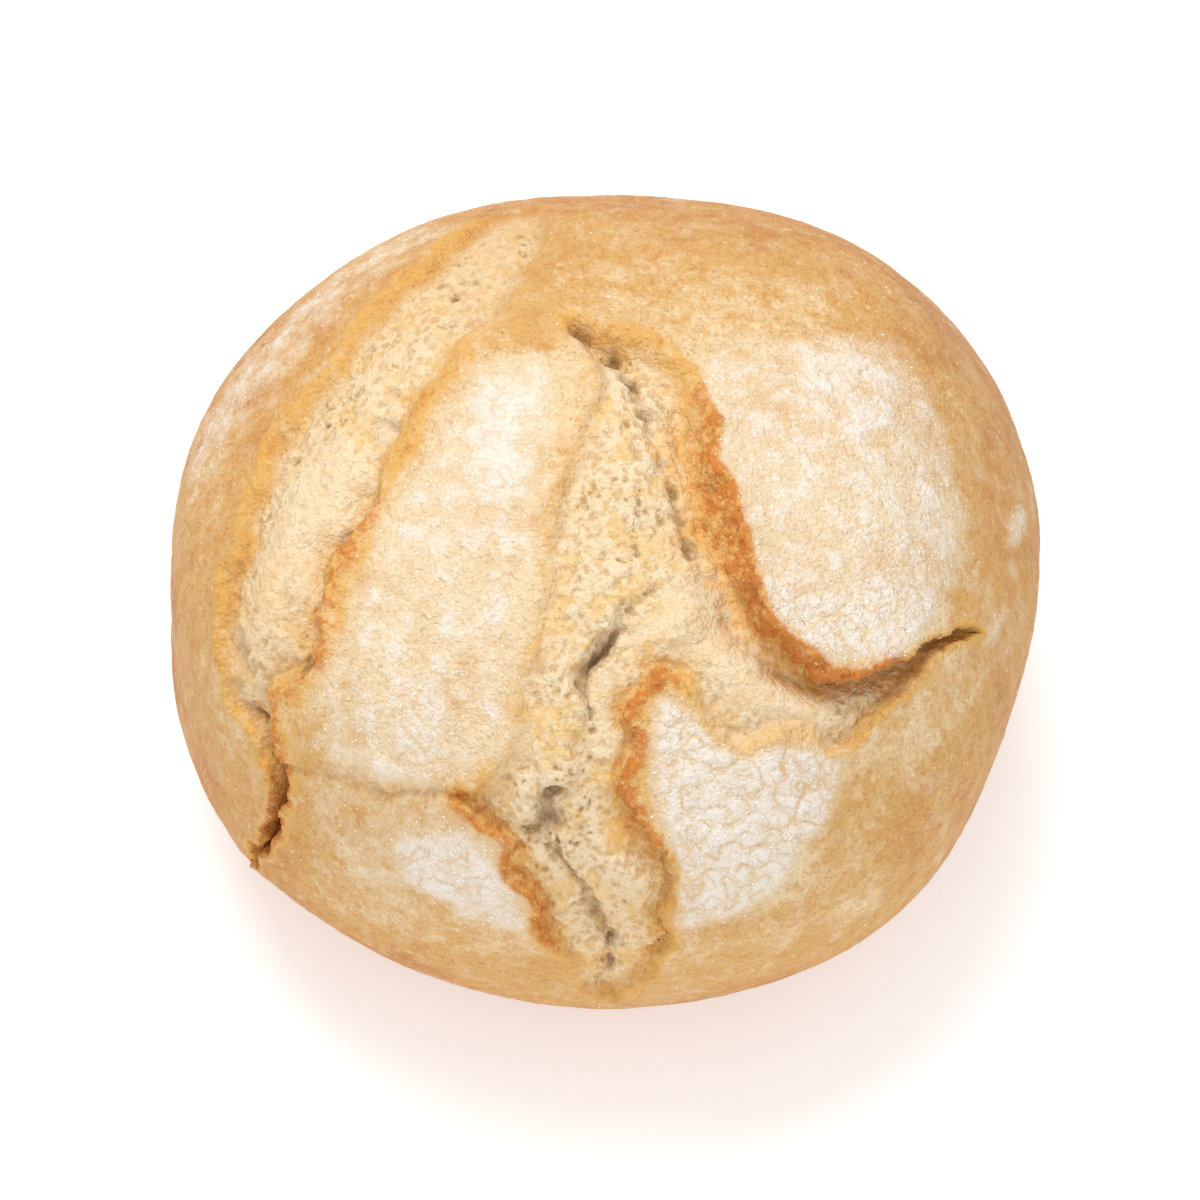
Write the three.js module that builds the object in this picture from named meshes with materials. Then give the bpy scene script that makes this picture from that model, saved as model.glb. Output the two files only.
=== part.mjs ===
// A round, crusty wheat bread roll whose crust has torn open in two branching splits.
// Millimetres, +Z up. The roll rests on its flat baked underside at z = 0, and the origin is on
// the table under the middle of its bounding box.
import * as THREE from "three";

// The ball of dough before it tore. Its widest belt is below half height, as in a roll baked
// on a tray, and the keel is how deep the sides would reach if the tray didn't flatten them.
const HALF_WIDTH = 45.4;
const HEIGHT = 61;
const BELT_HEIGHT = 27;
const KEEL_DEPTH = 31;
const DOME_POWER = 2.2;
const SIDE_POWER = 2.5;
// The belt isn't a true circle: [waves round the roll, cosine share, sine share].
const BELT_WAVES = [[2, 0.02, -0.005], [3, -0.019, 0.025], [4, -0.005, 0.004]];
// From the ball's axis to the middle of the finished roll's bounding box.
const BOX_MIDDLE = new THREE.Vector3(-0.25, -1.53, 0);

// The torn face looks up and to the front. A place on it is [right, up] in millimetres along
// the crust from its middle, which this many millimetres a radian turn into a direction.
const FACE_TILT = THREE.MathUtils.degToRad(58);
const FACE_RADIUS = 42;
const FACE = new THREE.Vector3(0, -Math.cos(FACE_TILT), Math.sin(FACE_TILT));
const RIGHT = new THREE.Vector3(1, 0, 0);
const UP = new THREE.Vector3(0, Math.sin(FACE_TILT), Math.cos(FACE_TILT));

// Relief that all splits share.
const LIP_REACH = 2.6; // how far from its edge a plate of crust starts to curl up
const CRUMB_REACH = 3.2; // how far from the foot of a wall the crumb rises again
const CRUMB_LEVEL = 0.25; // the bared crumb lies this much below the crust
const LUMP_HEIGHT = 0.45;
const LUMP_SIZE = 34;
const WANDER = 0.45; // how far a torn edge strays from its smooth line
const WANDER_SIZE = 7;

// Mesh: triangle edges are this long beside a split, and grow with the distance from it.
const FINE_EDGE = 1.43;
const EDGE_GROWTH = 0.31;
const CRUST_EDGE = 3.8;
const UNDERSIDE_EDGE = 6.5;
const SNAP = 0.4; // a corner moves onto a contour that cuts its edge within this share

// A split is a closed loop of sides. Each side has the line where its crust ends, how high the
// lip stands, how wide the torn wall under it is, and how deep that wall goes.
const LEFT_SPLIT = [
  { edge: [[-15, 63.5], [-23, 54], [-29, 46.5], [-34, 39], [-38.5, 29.5], [-42, 23], [-44, 16]],
    lip: 0.45, wall: 1.2, drop: 0.8 },
  { edge: [[-44, 8], [-44.5, -0.5], [-44, -7], [-42.5, -13], [-39.5, -18]],
    lip: 0.6, wall: 1, drop: 1.2 },
  { edge: [[-38.3, -22.5], [-40, -27.5], [-50, -38.6]], lip: 0.5, wall: 0.8, drop: 1.6 },
  { edge: [[-49.3, -39.2], [-39, -30], [-35.5, -24], [-34.5, -19.5]],
    lip: 0.7, wall: 0.9, drop: 1.8 },
  { edge: [[-36, -15], [-36, -12], [-32.5, -10], [-31, -6], [-31, -2], [-30.5, 3], [-28.5, 6.5]],
    lip: 0.8, wall: 2.2, drop: 1.9 },
  { edge: [[-27.5, 11.5], [-26.5, 16.5], [-25, 22.5], [-20.5, 30.5], [-14.5, 40.5], [-10, 49],
      [-9.5, 61]],
    lip: 0.35, wall: 3, drop: 1.2 },
];
const RIGHT_SPLIT = [
  { edge: [[-6.5, 38.5], [0, 37.5], [6.5, 35], [12, 29]], lip: 0.5, wall: 4.5, drop: 1.8 },
  { edge: [[14, 22], [14.5, 14.5], [15.5, 9.5], [16.5, 4.5]], lip: 1.1, wall: 4, drop: 2.8 },
  { edge: [[17.5, -1.5], [19.5, -6], [23, -8], [26.5, -8.8], [29.5, -7.8]],
    lip: 1.5, wall: 1.6, drop: 3.2 },
  { edge: [[33, -6.2], [37.5, -5], [42, -4.6]], lip: 0.7, wall: 1.2, drop: 2.2 },
  { edge: [[45, -5.4], [39.5, -7.7], [36, -9.7], [32, -12.2], [29, -14.5], [26.5, -17]],
    lip: 0.5, wall: 1, drop: 1.4 },
  { edge: [[24, -17.5], [19, -16.5], [15, -17.5], [12.5, -17], [10, -14.5], [8, -11]],
    lip: 0.3, wall: 2.2, drop: 1 },
  { edge: [[6, -9.3], [4, -11.5], [3, -14.5], [3, -18.5], [2.5, -21.5], [3.2, -24]],
    lip: 1, wall: 1.2, drop: 1.9 },
  { edge: [[5.5, -26], [7, -29.5], [6.8, -34.5], [6.5, -40]], lip: 0.7, wall: 1.2, drop: 1.5 },
  { edge: [[5, -45], [2.5, -50], [-1.5, -52], [-4.5, -44.5]], lip: 0.2, wall: 2, drop: 0.8 },
  { edge: [[-7.5, -37.5], [-8.5, -33], [-10, -29.5], [-12, -26.5], [-14.5, -23.5], [-16.5, -22]],
    lip: 0.9, wall: 1.2, drop: 1.7 },
  { edge: [[-13, -20.5], [-10.5, -16.5], [-9.5, -10.5], [-8, -2], [-7, 6], [-6, 15], [-3.5, 22],
      [-2.5, 29], [-5, 34.5]],
    lip: 0.3, wall: 2.5, drop: 0.8 },
];

// Narrow tears in the crumb and the crust, deepest along their line. Where step is set, the
// crumb on the left of the line's direction stands that much above the other side.
const TEARS = [
  { line: [[-6, 37.8], [0.5, 34], [5, 24.5], [8.5, 13.5], [10, 4], [12.5, 1]], width: 1, depth: 1.4 },
  { line: [[12.5, 1], [16, -7.5], [21.5, -10.2], [26.5, -11], [31, -10], [41, -5.6]],
    width: 1, depth: 1 },
  { line: [[8.5, -0.5], [3.5, -2.5], [-0.5, -6.5], [-2.5, -11.5], [-1.5, -21]],
    width: 1, depth: 2, step: -0.9 },
  { line: [[-1.5, -21], [-5, -23], [-7.5, -27]], width: 1.3, depth: 2.4 },
  { line: [[-6.5, -25.5], [-3, -32.5], [0.5, -38], [0, -43], [-1, -53.5]], width: 1.1, depth: 2.2 },
  { line: [[-36, -19.5], [-29, -20], [-22.5, -21.5], [-14.5, -22]], width: 0.8, depth: 0.8, step: 0.3 },
  { line: [[-41.5, -12.5], [-37, -19], [-38.5, -27.5], [-50.5, -39.5]], width: 0.9, depth: 1.7 },
];

// Soft swellings: the crumb that bulges out of the splits, and the crust between them.
const SWELLS = [
  { line: [[-1, 28], [1, 16], [0.5, 6], [-3, -5], [-6, -18]], width: 3.6, height: 1 },
  { line: [[9, -4], [4, -8], [0.5, -13], [0.5, -20]], width: 1.7, height: 0.9 },
  { line: [[13, -9], [22, -13.5], [28, -12.5]], width: 2.4, height: 0.5 },
  { line: [[1, -27], [3.5, -34], [3.5, -42]], width: 2, height: 0.8 },
  { line: [[-9, -29], [-4, -38], [-3, -46]], width: 1.8, height: 0.6 },
  { line: [[-22, 34], [-34, 16], [-38, 0], [-39, -8]], width: 3.4, height: 0.8 },
  { line: [[-14, 26], [-19, 4], [-24, -12]], width: 8, height: 0.9 },
  { line: [[30, 22], [33, 6]], width: 11, height: 0.9 },
  { line: [[16, -28], [14, -38]], width: 8, height: 0.7 },
  { line: [[-26, -28], [-18, -34]], width: 7, height: 0.6 },
];

// Large bubbles that the tear cut open: place, radius and depth.
const BUBBLES = [
  { at: [-26.8, 20.8], radius: 2.1, depth: 1.1 },
  { at: [-27, 25.6], radius: 1.2, depth: 0.8 },
  { at: [-41.5, -7], radius: 1.9, depth: 1.1 },
  { at: [-30.5, 9], radius: 1.5, depth: 0.9 },
  { at: [-33.5, -8.4], radius: 1.4, depth: 1 },
  { at: [-7, -25.4], radius: 1.9, depth: 1.3 },
  { at: [-2.2, 35], radius: 1.5, depth: 1 },
  { at: [3.2, 29.8], radius: 1.4, depth: 1 },
];

// A smooth line through control points of any number of columns, closed or open.
function smoothLine(points, closed, steps = 5) {
  const count = points.length;
  const line = [];
  const pick = (i) => points[closed ? (i + count) % count : Math.min(Math.max(i, 0), count - 1)];
  for (let i = 0; i < (closed ? count : count - 1); i++) {
    const [a, b, c, d] = [pick(i - 1), pick(i), pick(i + 1), pick(i + 2)];
    for (let s = 0; s < steps; s++) {
      const t = s / steps;
      line.push(b.map((_, k) => 0.5 * (2 * b[k] + (c[k] - a[k]) * t
        + (2 * a[k] - 5 * b[k] + 4 * c[k] - d[k]) * t * t
        + (3 * b[k] - 3 * c[k] + d[k] - a[k]) * t * t * t)));
    }
  }
  if (!closed) line.push(points[count - 1]);
  return line;
}

// A split's loop carries the wall width along as a third column. Each side is also kept as a
// line of its own, which runs on to where the next side starts.
function makeSplit(sides) {
  const corners = sides.flatMap((side) => side.edge.map(([x, y]) => [x, y, side.wall]));
  const borders = sides.map((side, i) => {
    const next = sides[(i + 1) % sides.length].edge[0];
    return { ...side, line: smoothLine([...side.edge, next], false) };
  });
  return { loop: smoothLine(corners, true), borders };
}

// The nearest place on a line: distance, which side of the line, share of the way along it,
// its columns there, and the unit direction from it to the point.
function nearestOn(line, closed, x, y) {
  let best = null;
  const segments = closed ? line.length : line.length - 1;
  for (let i = 0; i < segments; i++) {
    const a = line[i];
    const b = line[(i + 1) % line.length];
    const [dx, dy] = [b[0] - a[0], b[1] - a[1]];
    const share = ((x - a[0]) * dx + (y - a[1]) * dy) / Math.max(dx * dx + dy * dy, 1e-9);
    const t = Math.min(Math.max(share, 0), 1);
    const [ox, oy] = [x - a[0] - dx * t, y - a[1] - dy * t];
    const distance = Math.hypot(ox, oy);
    if (!best || distance < best.distance)
      best = { distance, i, t, a, b, ox, oy, turn: dx * oy - dy * ox };
  }
  const { distance, a, b, t } = best;
  const span = Math.max(distance, 1e-6);
  return {
    distance,
    onLeft: best.turn > 0,
    along: (best.i + t) / segments,
    row: a.map((value, k) => value + (b[k] - value) * t),
    away: [best.ox / span, best.oy / span],
  };
}

function isInside(loop, x, y) {
  let inside = false;
  loop.forEach(([x1, y1], i) => {
    const [x2, y2] = loop[(i + 1) % loop.length];
    if ((y1 > y) !== (y2 > y) && x < ((x2 - x1) * (y - y1)) / (y2 - y1) + x1) inside = !inside;
  });
  return inside;
}

const SPLITS = [LEFT_SPLIT, RIGHT_SPLIT].map(makeSplit);
const tears = TEARS.map((tear) => ({ ...tear, path: smoothLine(tear.line, false) }));
const swells = SWELLS.map((swell) => ({ ...swell, path: smoothLine(swell.line, false) }));

// Distance from a split's torn edge, positive on the crust and negative in the opening.
function fromEdge(split, x, y) {
  const near = nearestOn(split.loop, true, x, y);
  const sign = isInside(split.loop, x, y) ? -1 : 1;
  return { ...near, distance: sign * near.distance, wall: near.row[2] };
}

const smoothStep = (t) => { const s = Math.min(Math.max(t, 0), 1); return s * s * (3 - 2 * s); };

// The larger of several bumps, rounded off where they meet.
const blendBumps = (bumps) => bumps.reduce((sum, bump) => sum + bump ** 4, 0) ** 0.25;

// Smooth waves through space, the same at each run, of about this wavelength.
function waves(point, size, seed) {
  let sum = 0;
  for (let k = 0; k < 4; k++) {
    const turn = 2.4 * (k + 5 * seed);
    const tilt = 0.9 * (k + 1) * (seed + 1);
    const pitch = ((2 * Math.PI) / size) * (1 + 0.13 * k);
    const reach = point.x * Math.cos(turn) * Math.cos(tilt)
      + point.y * Math.sin(turn) * Math.cos(tilt) + point.z * Math.sin(tilt);
    sum += Math.sin(reach * pitch + 1.7 * k + seed);
  }
  return sum / 2;
}

// A point of the untorn ball in a direction from the middle of its belt.
function ballPoint(direction) {
  const around = Math.atan2(direction.y, direction.x);
  const belt = BELT_WAVES.reduce(
    (sum, [count, cosine, sine]) => sum + cosine * Math.cos(count * around)
      + sine * Math.sin(count * around), 1);
  const flat = Math.hypot(direction.x, direction.y);
  const [half, power] = direction.z >= 0
    ? [HEIGHT - BELT_HEIGHT, DOME_POWER] : [KEEL_DEPTH, SIDE_POWER];
  const radius = ((flat / (HALF_WIDTH * belt)) ** power
    + (Math.abs(direction.z) / half) ** power) ** (-1 / power);
  return direction.clone().multiplyScalar(radius).add(new THREE.Vector3(0, 0, BELT_HEIGHT));
}

// The ball's outward normal, from two short steps across its surface.
function ballNormal(direction) {
  const step = 1e-3;
  const helper = Math.abs(direction.z) < 0.9 ? new THREE.Vector3(0, 0, 1) : RIGHT;
  const first = new THREE.Vector3().crossVectors(helper, direction).normalize();
  const second = new THREE.Vector3().crossVectors(direction, first);
  const across = [first, second].map((way) => {
    const ends = [step, -step].map((s) =>
      ballPoint(direction.clone().addScaledVector(way, s).normalize()));
    return ends[0].sub(ends[1]);
  });
  return across[0].cross(across[1]).normalize();
}

// Direction to place on the face, and back.
function toFace(direction) {
  const [right, up] = [direction.dot(RIGHT), direction.dot(UP)];
  const flat = Math.max(Math.hypot(right, up), 1e-9);
  const reach = FACE_RADIUS * Math.atan2(flat, direction.dot(FACE));
  return [(right * reach) / flat, (up * reach) / flat];
}
function fromFace([right, up]) {
  const reach = Math.max(Math.hypot(right, up), 1e-9);
  const angle = reach / FACE_RADIUS;
  return FACE.clone().multiplyScalar(Math.cos(angle))
    .addScaledVector(RIGHT, (right / reach) * Math.sin(angle))
    .addScaledVector(UP, (up / reach) * Math.sin(angle));
}

// The face with its places shifted a little, so that torn edges stray from their lines.
function wanderingFace(direction) {
  const [x, y] = toFace(direction);
  const point = ballPoint(direction);
  return [x + WANDER * waves(point, WANDER_SIZE, 1), y + WANDER * waves(point, WANDER_SIZE, 2)];
}

function splitRelief(split, x, y) {
  const { distance, wall } = fromEdge(split, x, y);
  const near = split.borders.map((side) => ({
    ...side, distance: nearestOn(side.line, false, x, y).distance }));
  const lip = blendBumps(near.map((side) => side.lip * Math.exp(-side.distance / LIP_REACH)));
  if (distance >= 0) return lip;
  const depth = blendBumps(near.map((side) =>
    side.drop * Math.exp(-Math.max(side.distance - side.wall, 0) / CRUMB_REACH)));
  const fall = smoothStep(-distance / wall);
  return lip * (1 - fall) - (depth + CRUMB_LEVEL) * fall;
}

// Tears fade out towards both ends.
const taper = (along) => Math.sqrt(Math.min(8 * along, 8 * (1 - along), 1));

function tearRelief({ path, width, depth, step = 0 }, x, y) {
  const { distance, onLeft, along } = nearestOn(path, false, x, y);
  const groove = depth * Math.exp(-((distance / width) ** 2));
  const rise = step * (onLeft ? 0.5 : -0.5) * (1 - Math.exp(-((distance / 0.5) ** 2)))
    * Math.exp(-distance / 2.5);
  return (rise - groove) * taper(along);
}

function swellRelief({ path, width, height }, x, y) {
  return height * Math.exp(-((nearestOn(path, false, x, y).distance / width) ** 2));
}

function bubbleRelief({ at, radius, depth }, x, y) {
  const off = Math.hypot(x - at[0], y - at[1]) / radius;
  return off < 1 ? -depth * (1 - off ** 4) : 0;
}

// How far the crust or the bared crumb stands above the ball in one direction.
function relief(direction) {
  const [x, y] = wanderingFace(direction);
  const lumps = LUMP_HEIGHT * waves(ballPoint(direction), LUMP_SIZE, 3);
  const sum = (items, rise) => items.reduce((total, item) => total + rise(item, x, y), 0);
  return lumps + sum(SPLITS, splitRelief) + sum(tears, tearRelief)
    + sum(swells, swellRelief) + sum(BUBBLES, bubbleRelief);
}

// The finished surface. Dough that would sink below the table is pressed flat on it.
function crustPoint(direction) {
  const point = ballPoint(direction).addScaledVector(ballNormal(direction), relief(direction));
  return new THREE.Vector3(point.x, point.y, Math.max(point.z, 0)).sub(BOX_MIDDLE);
}

// How long a triangle's edge may be around a direction.
function edgeLength(direction) {
  const point = ballPoint(direction);
  if (point.z < -1) return UNDERSIDE_EDGE;
  const [x, y] = wanderingFace(direction);
  const distances = SPLITS.map((split) => {
    const { distance } = fromEdge(split, x, y);
    return distance < 0 ? Math.min(-distance, 1.5) * 0.5 : distance;
  });
  distances.push(...tears.map((tear) => nearestOn(tear.path, false, x, y).distance));
  return Math.min(FINE_EDGE + EDGE_GROWTH * Math.min(...distances), CRUST_EDGE);
}

// Cuts edges once, with no gaps between the triangles: one, two or three cut edges turn a
// triangle into two, three or four. cutEdge gives the new corner between two, or nothing.
function cutOnce(corners, triangles, cutEdge) {
  const cuts = new Map();
  const cut = (a, b) => {
    const key = a < b ? `${a} ${b}` : `${b} ${a}`;
    if (!cuts.has(key)) {
      const place = cutEdge(Math.min(a, b), Math.max(a, b));
      cuts.set(key, place ? corners.push(place) - 1 : -1);
    }
    return cuts.get(key);
  };
  return triangles.flatMap(([a, b, c]) => {
    const [ab, bc, ca] = [cut(a, b), cut(b, c), cut(c, a)];
    const count = [ab, bc, ca].filter((corner) => corner >= 0).length;
    if (count === 3) return [[a, ab, ca], [ab, b, bc], [ca, bc, c], [ab, bc, ca]];
    if (count === 0) return [[a, b, c]];
    // Turn the triangle so that its first edge is cut, and its third is whole.
    const turns = [[a, b, c, ab, bc, ca], [b, c, a, bc, ca, ab], [c, a, b, ca, ab, bc]];
    const [p, q, r, pq, qr] = turns.find(([, , , first, , third]) => first >= 0 && third < 0);
    if (qr < 0) return [[p, pq, r], [pq, q, r]];
    const shortcut = corners[p].distanceTo(corners[qr]) < corners[pq].distanceTo(corners[r]);
    const rest = shortcut ? [[p, pq, qr], [p, qr, r]] : [[p, pq, r], [pq, qr, r]];
    return [[pq, q, qr], ...rest];
  });
}

// Halves edges until none is too long.
function refine(corners, triangles) {
  for (;;) {
    const before = corners.length;
    triangles = cutOnce(corners, triangles, (a, b) => {
      const halfway = corners[a].clone().add(corners[b]).normalize();
      const length = ballPoint(corners[a]).distanceTo(ballPoint(corners[b]));
      return length > edgeLength(halfway) ? halfway : null;
    });
    if (corners.length === before) return triangles;
  }
}

// Evens out the triangles by moving each free corner halfway to the mean of its neighbours.
function relax(corners, triangles, held) {
  const sums = corners.map(() => ({ total: new THREE.Vector3(), count: 0 }));
  triangles.forEach((triangle) => triangle.forEach((corner, i) => {
    sums[corner].total.add(corners[triangle[(i + 1) % 3]]);
    sums[corner].count += 1;
  }));
  sums.forEach(({ total, count }, i) => {
    if (!held.has(i)) corners[i].lerp(total.divideScalar(count), 0.5).normalize();
  });
}

// Lays triangle edges along a contour of a split, level 0 for the torn edge and 1 for the foot
// of its wall: corners near to the contour move onto it, and edges that still cross it are cut
// there. Corners on a contour are held from then on.
function followContour(corners, triangles, split, level, held) {
  const heights = new Map();
  const heightOf = (i) => {
    if (!heights.has(i)) {
      const { distance, wall } = fromEdge(split, ...wanderingFace(corners[i]));
      heights.set(i, distance + level * wall);
    }
    return heights.get(i);
  };
  const crossing = (a, b) => {
    const [from, to] = [heightOf(a), heightOf(b)];
    return from * to < 0 && Math.abs(from) + Math.abs(to) < 3 * CRUST_EDGE
      ? from / (from - to) : null;
  };
  const moves = new Map();
  triangles.forEach((triangle) => triangle.forEach((a, k) => {
    const b = triangle[(k + 1) % 3];
    const share = crossing(a, b);
    if (share === null || share > SNAP || held.has(a)) return;
    if (!moves.has(a) || moves.get(a).share > share) moves.set(a, { share, b });
  }));
  const places = [...moves].map(([a, { share, b }]) =>
    [a, corners[a].clone().lerp(corners[b], share).normalize()]);
  places.forEach(([a, place]) => {
    corners[a].copy(place);
    heights.set(a, 0);
    held.add(a);
  });
  const before = corners.length;
  const cut = cutOnce(corners, triangles, (a, b) => {
    const share = crossing(a, b);
    return share === null ? null : corners[a].clone().lerp(corners[b], share).normalize();
  });
  for (let i = before; i < corners.length; i++) held.add(i);
  return cut;
}

function makeRoll() {
  const ball = new THREE.IcosahedronGeometry(1, 0);
  const corners = [];
  const numbers = new Map();
  const position = ball.getAttribute("position");
  const order = [];
  for (let i = 0; i < position.count; i++) {
    const corner = new THREE.Vector3().fromBufferAttribute(position, i);
    const key = corner.toArray().map((value) => value.toFixed(4)).join();
    if (!numbers.has(key)) numbers.set(key, corners.push(corner) - 1);
    order.push(numbers.get(key));
  }
  const start = [];
  for (let i = 0; i < order.length; i += 3) start.push(order.slice(i, i + 3));
  let triangles = refine(corners, start);
  const held = new Set();
  for (let round = 0; round < 3; round++) relax(corners, triangles, held);
  for (const split of SPLITS)
    for (const level of [0, 1])
      triangles = followContour(corners, triangles, split, level, held);
  for (let round = 0; round < 2; round++) relax(corners, triangles, held);
  const geometry = new THREE.BufferGeometry();
  geometry.setAttribute("position", new THREE.Float32BufferAttribute(
    corners.flatMap((corner) => crustPoint(corner).toArray()), 3));
  geometry.setIndex(triangles.flat());
  geometry.computeVertexNormals();
  const crust = new THREE.MeshStandardMaterial({ color: 0xdeb476, roughness: 0.75, metalness: 0 });
  const roll = new THREE.Mesh(geometry, crust);
  roll.name = "bread_roll";
  return roll;
}

const part = new THREE.Group();
part.add(makeRoll());

export default part;
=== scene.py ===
"""A round, crusty wheat bread roll with two branching splits torn open in its floured crust.

The crust is one skin, worked out in millimetres as rays from the middle of the ball of dough and
then torn, swollen and pitted. Geometry Nodes add its blisters, pores and caked flour, and scatter
loose flour and crumbs over it. All of it keeps the form of the solid it stands for.
"""
import logging
import math
from collections.abc import Iterable
from dataclasses import dataclass
from enum import Enum
from functools import cached_property

import bpy
import numpy as np
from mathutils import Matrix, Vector


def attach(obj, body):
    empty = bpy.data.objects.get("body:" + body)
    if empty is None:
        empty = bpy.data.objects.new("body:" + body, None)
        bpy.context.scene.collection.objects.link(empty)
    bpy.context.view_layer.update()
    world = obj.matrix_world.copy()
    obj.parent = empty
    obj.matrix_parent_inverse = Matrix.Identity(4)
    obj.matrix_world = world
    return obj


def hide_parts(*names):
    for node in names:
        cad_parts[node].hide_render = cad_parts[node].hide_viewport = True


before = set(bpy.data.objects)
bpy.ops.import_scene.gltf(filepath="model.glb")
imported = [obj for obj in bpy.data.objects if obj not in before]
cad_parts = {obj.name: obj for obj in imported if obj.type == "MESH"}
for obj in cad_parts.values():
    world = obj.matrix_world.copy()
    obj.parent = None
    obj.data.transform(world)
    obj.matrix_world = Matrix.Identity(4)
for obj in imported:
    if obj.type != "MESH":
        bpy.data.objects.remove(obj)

LOG = logging.getLogger("bread roll")
MM = 0.001
WHITE = (1.0, 1.0, 1.0, 1.0)
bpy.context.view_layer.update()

Array = np.ndarray
Place = tuple[float, float]


def unit(vectors: Array) -> Array:
    """Scales each row to length one."""
    return vectors / np.maximum(np.linalg.norm(vectors, axis=1, keepdims=True), 1e-12)


def smooth_step(values: Array) -> Array:
    """Eases values from 0 to 1, held outside that range."""
    held = np.clip(values, 0, 1)
    return held * held * (3 - 2 * held)


def blend_bumps(bumps: list[Array]) -> Array:
    """The largest of several bumps, rounded off where they meet."""
    return sum(np.maximum(bump, 0) ** 4 for bump in bumps) ** 0.25


def waves(points: Array, size: float, seed: int) -> Array:
    """Smooth waves through space.

    Args:
        points: places in millimetres, one a row.
        size: the longest wavelength in millimetres.
        seed: which set of waves.

    Returns:
        One value a point, mostly between -1 and 1.
    """
    total = np.zeros(len(points))
    for k in range(4):
        turn, tilt = 2.4 * (k + 5 * seed), 0.9 * (k + 1) * (seed + 1)
        pitch = 2 * math.pi / size * (1 + 0.13 * k)
        way = np.array([math.cos(turn) * math.cos(tilt), math.sin(turn) * math.cos(tilt), math.sin(tilt)])
        total += np.sin(points @ way * pitch + 1.7 * k + seed)
    return total / 2


def grit(points: Array, size: float, seed: int) -> Array:
    """Value noise through space, rougher than waves and without their rhythm.

    Args:
        points: places in millimetres, one a row.
        size: the spacing of its lattice in millimetres.
        seed: which noise.

    Returns:
        One value a point, between -1 and 1.
    """
    scaled = points / size
    cell = np.floor(scaled).astype(np.int64)
    share = smooth_step(scaled - cell)
    total = np.zeros(len(points))
    for corner in np.ndindex(2, 2, 2):
        weight = np.prod(np.where(corner, share, 1 - share), axis=1)
        mixed = (cell + corner) @ np.array([73856093, 19349663, 83492791]) + seed * 2654435761
        mixed = ((mixed & 0x7FFFFFFF) ^ ((mixed & 0x7FFFFFFF) >> 13)) * 1274126177 & 0x7FFFFFFF
        total += weight * (((mixed ^ (mixed >> 16)) & 0xFFFFFF) / 0xFFFFFF)
    return total * 2 - 1


@dataclass(frozen=True)
class Near:
    """The nearest places on a line, one value a point asked about."""

    distance: Array
    on_left: Array
    along: Array
    extra: Array
    away: Array


class Line:
    """A smooth line on the face, through control points with extra columns.

    The extra columns are averaged over the line's nearest stretch, a blur of millimetres wide.
    """

    CHUNK = 3000
    FAR = 99.0
    BLUR = 1.6

    def __init__(self, points: list[tuple[float, ...]], closed: bool = False, steps: int = 5) -> None:
        """Runs a Catmull-Rom curve through the points."""
        knots = np.array(points, float)
        count = len(knots)
        ends = np.arange(count if closed else count - 1)
        pick = (lambda i: knots[i % count]) if closed else (lambda i: knots[np.clip(i, 0, count - 1)])
        a, b, c, d = (pick(ends + k)[:, None, :] for k in (-1, 0, 1, 2))
        t = (np.arange(steps) / steps)[None, :, None]
        curve = 0.5 * (2 * b + (c - a) * t + (2 * a - 5 * b + 4 * c - d) * t**2
                       + (3 * b - 3 * c + d - a) * t**3)
        curve = curve.reshape(-1, knots.shape[1])
        if closed:
            self.starts, self.stops = curve, np.roll(curve, -1, axis=0)
        else:
            curve = np.vstack([curve, knots[-1:]])
            self.starts, self.stops = curve[:-1], curve[1:]

    def near(self, places: Array, reach: float = 1e9) -> Near:
        """Finds the nearest place on the line for each place given.

        Args:
            places: places on the face, one a row.
            reach: further off than this, the distance is only known to be far.

        Returns:
            Distances, sides, shares along the line, extra columns and directions away from it.
        """
        low, high = self.starts[:, :2].min(0) - reach, self.starts[:, :2].max(0) + reach
        asked = np.flatnonzero(((places >= low) & (places <= high)).all(axis=1))
        steps = self.stops - self.starts
        flat, count = steps[:, :2], len(places)
        distance, along = np.full(count, self.FAR), np.zeros(count)
        extra = np.zeros((count, steps.shape[1] - 2))
        away, on_left = np.zeros((count, 2)), np.zeros(count, bool)
        lengths = np.maximum((flat**2).sum(1), 1e-12)
        for first in range(0, len(asked), self.CHUNK):
            rows = asked[first:first + self.CHUNK]
            offset = places[rows, None, :] - self.starts[None, :, :2]
            share = np.clip((offset * flat).sum(2) / lengths, 0, 1)
            gap = offset - flat * share[..., None]
            square = (gap**2).sum(2)
            best = square.argmin(1)
            row = np.arange(len(rows))
            if extra.shape[1]:
                weight = np.exp((square[row, best][:, None] - square) / (2 * self.BLUR**2))
                extra[rows] = weight @ self.starts[:, 2:] / weight.sum(1, keepdims=True)
            share, gap = share[row, best], gap[row, best]
            distance[rows] = np.linalg.norm(gap, axis=1)
            along[rows] = (best + share) / len(self.starts)
            away[rows] = unit(gap)
            on_left[rows] = flat[best, 0] * gap[:, 1] - flat[best, 1] * gap[:, 0] > 0
        return Near(distance, on_left, along, extra, away)

    def holds(self, places: Array) -> Array:
        """Whether each place is inside the closed line."""
        x, y = places.T
        inside = np.zeros(len(places), bool)
        for (x1, y1), (x2, y2) in zip(self.starts[:, :2], self.stops[:, :2]):
            if y1 != y2:
                inside ^= ((y1 > y) != (y2 > y)) & (x < (x2 - x1) * (y - y1) / (y2 - y1) + x1)
        return inside


def covered(outline: tuple[Place, ...], places: Array, soft: float) -> Array:
    """How far each place is inside an outline: 1 well inside, 0 outside, with a soft edge."""
    line = Line(outline, closed=True)
    gap = line.near(places, reach=8).distance
    depth = np.where(line.holds(places), gap, -gap)
    return smooth_step(depth / (2 * soft) + 0.5)


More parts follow.
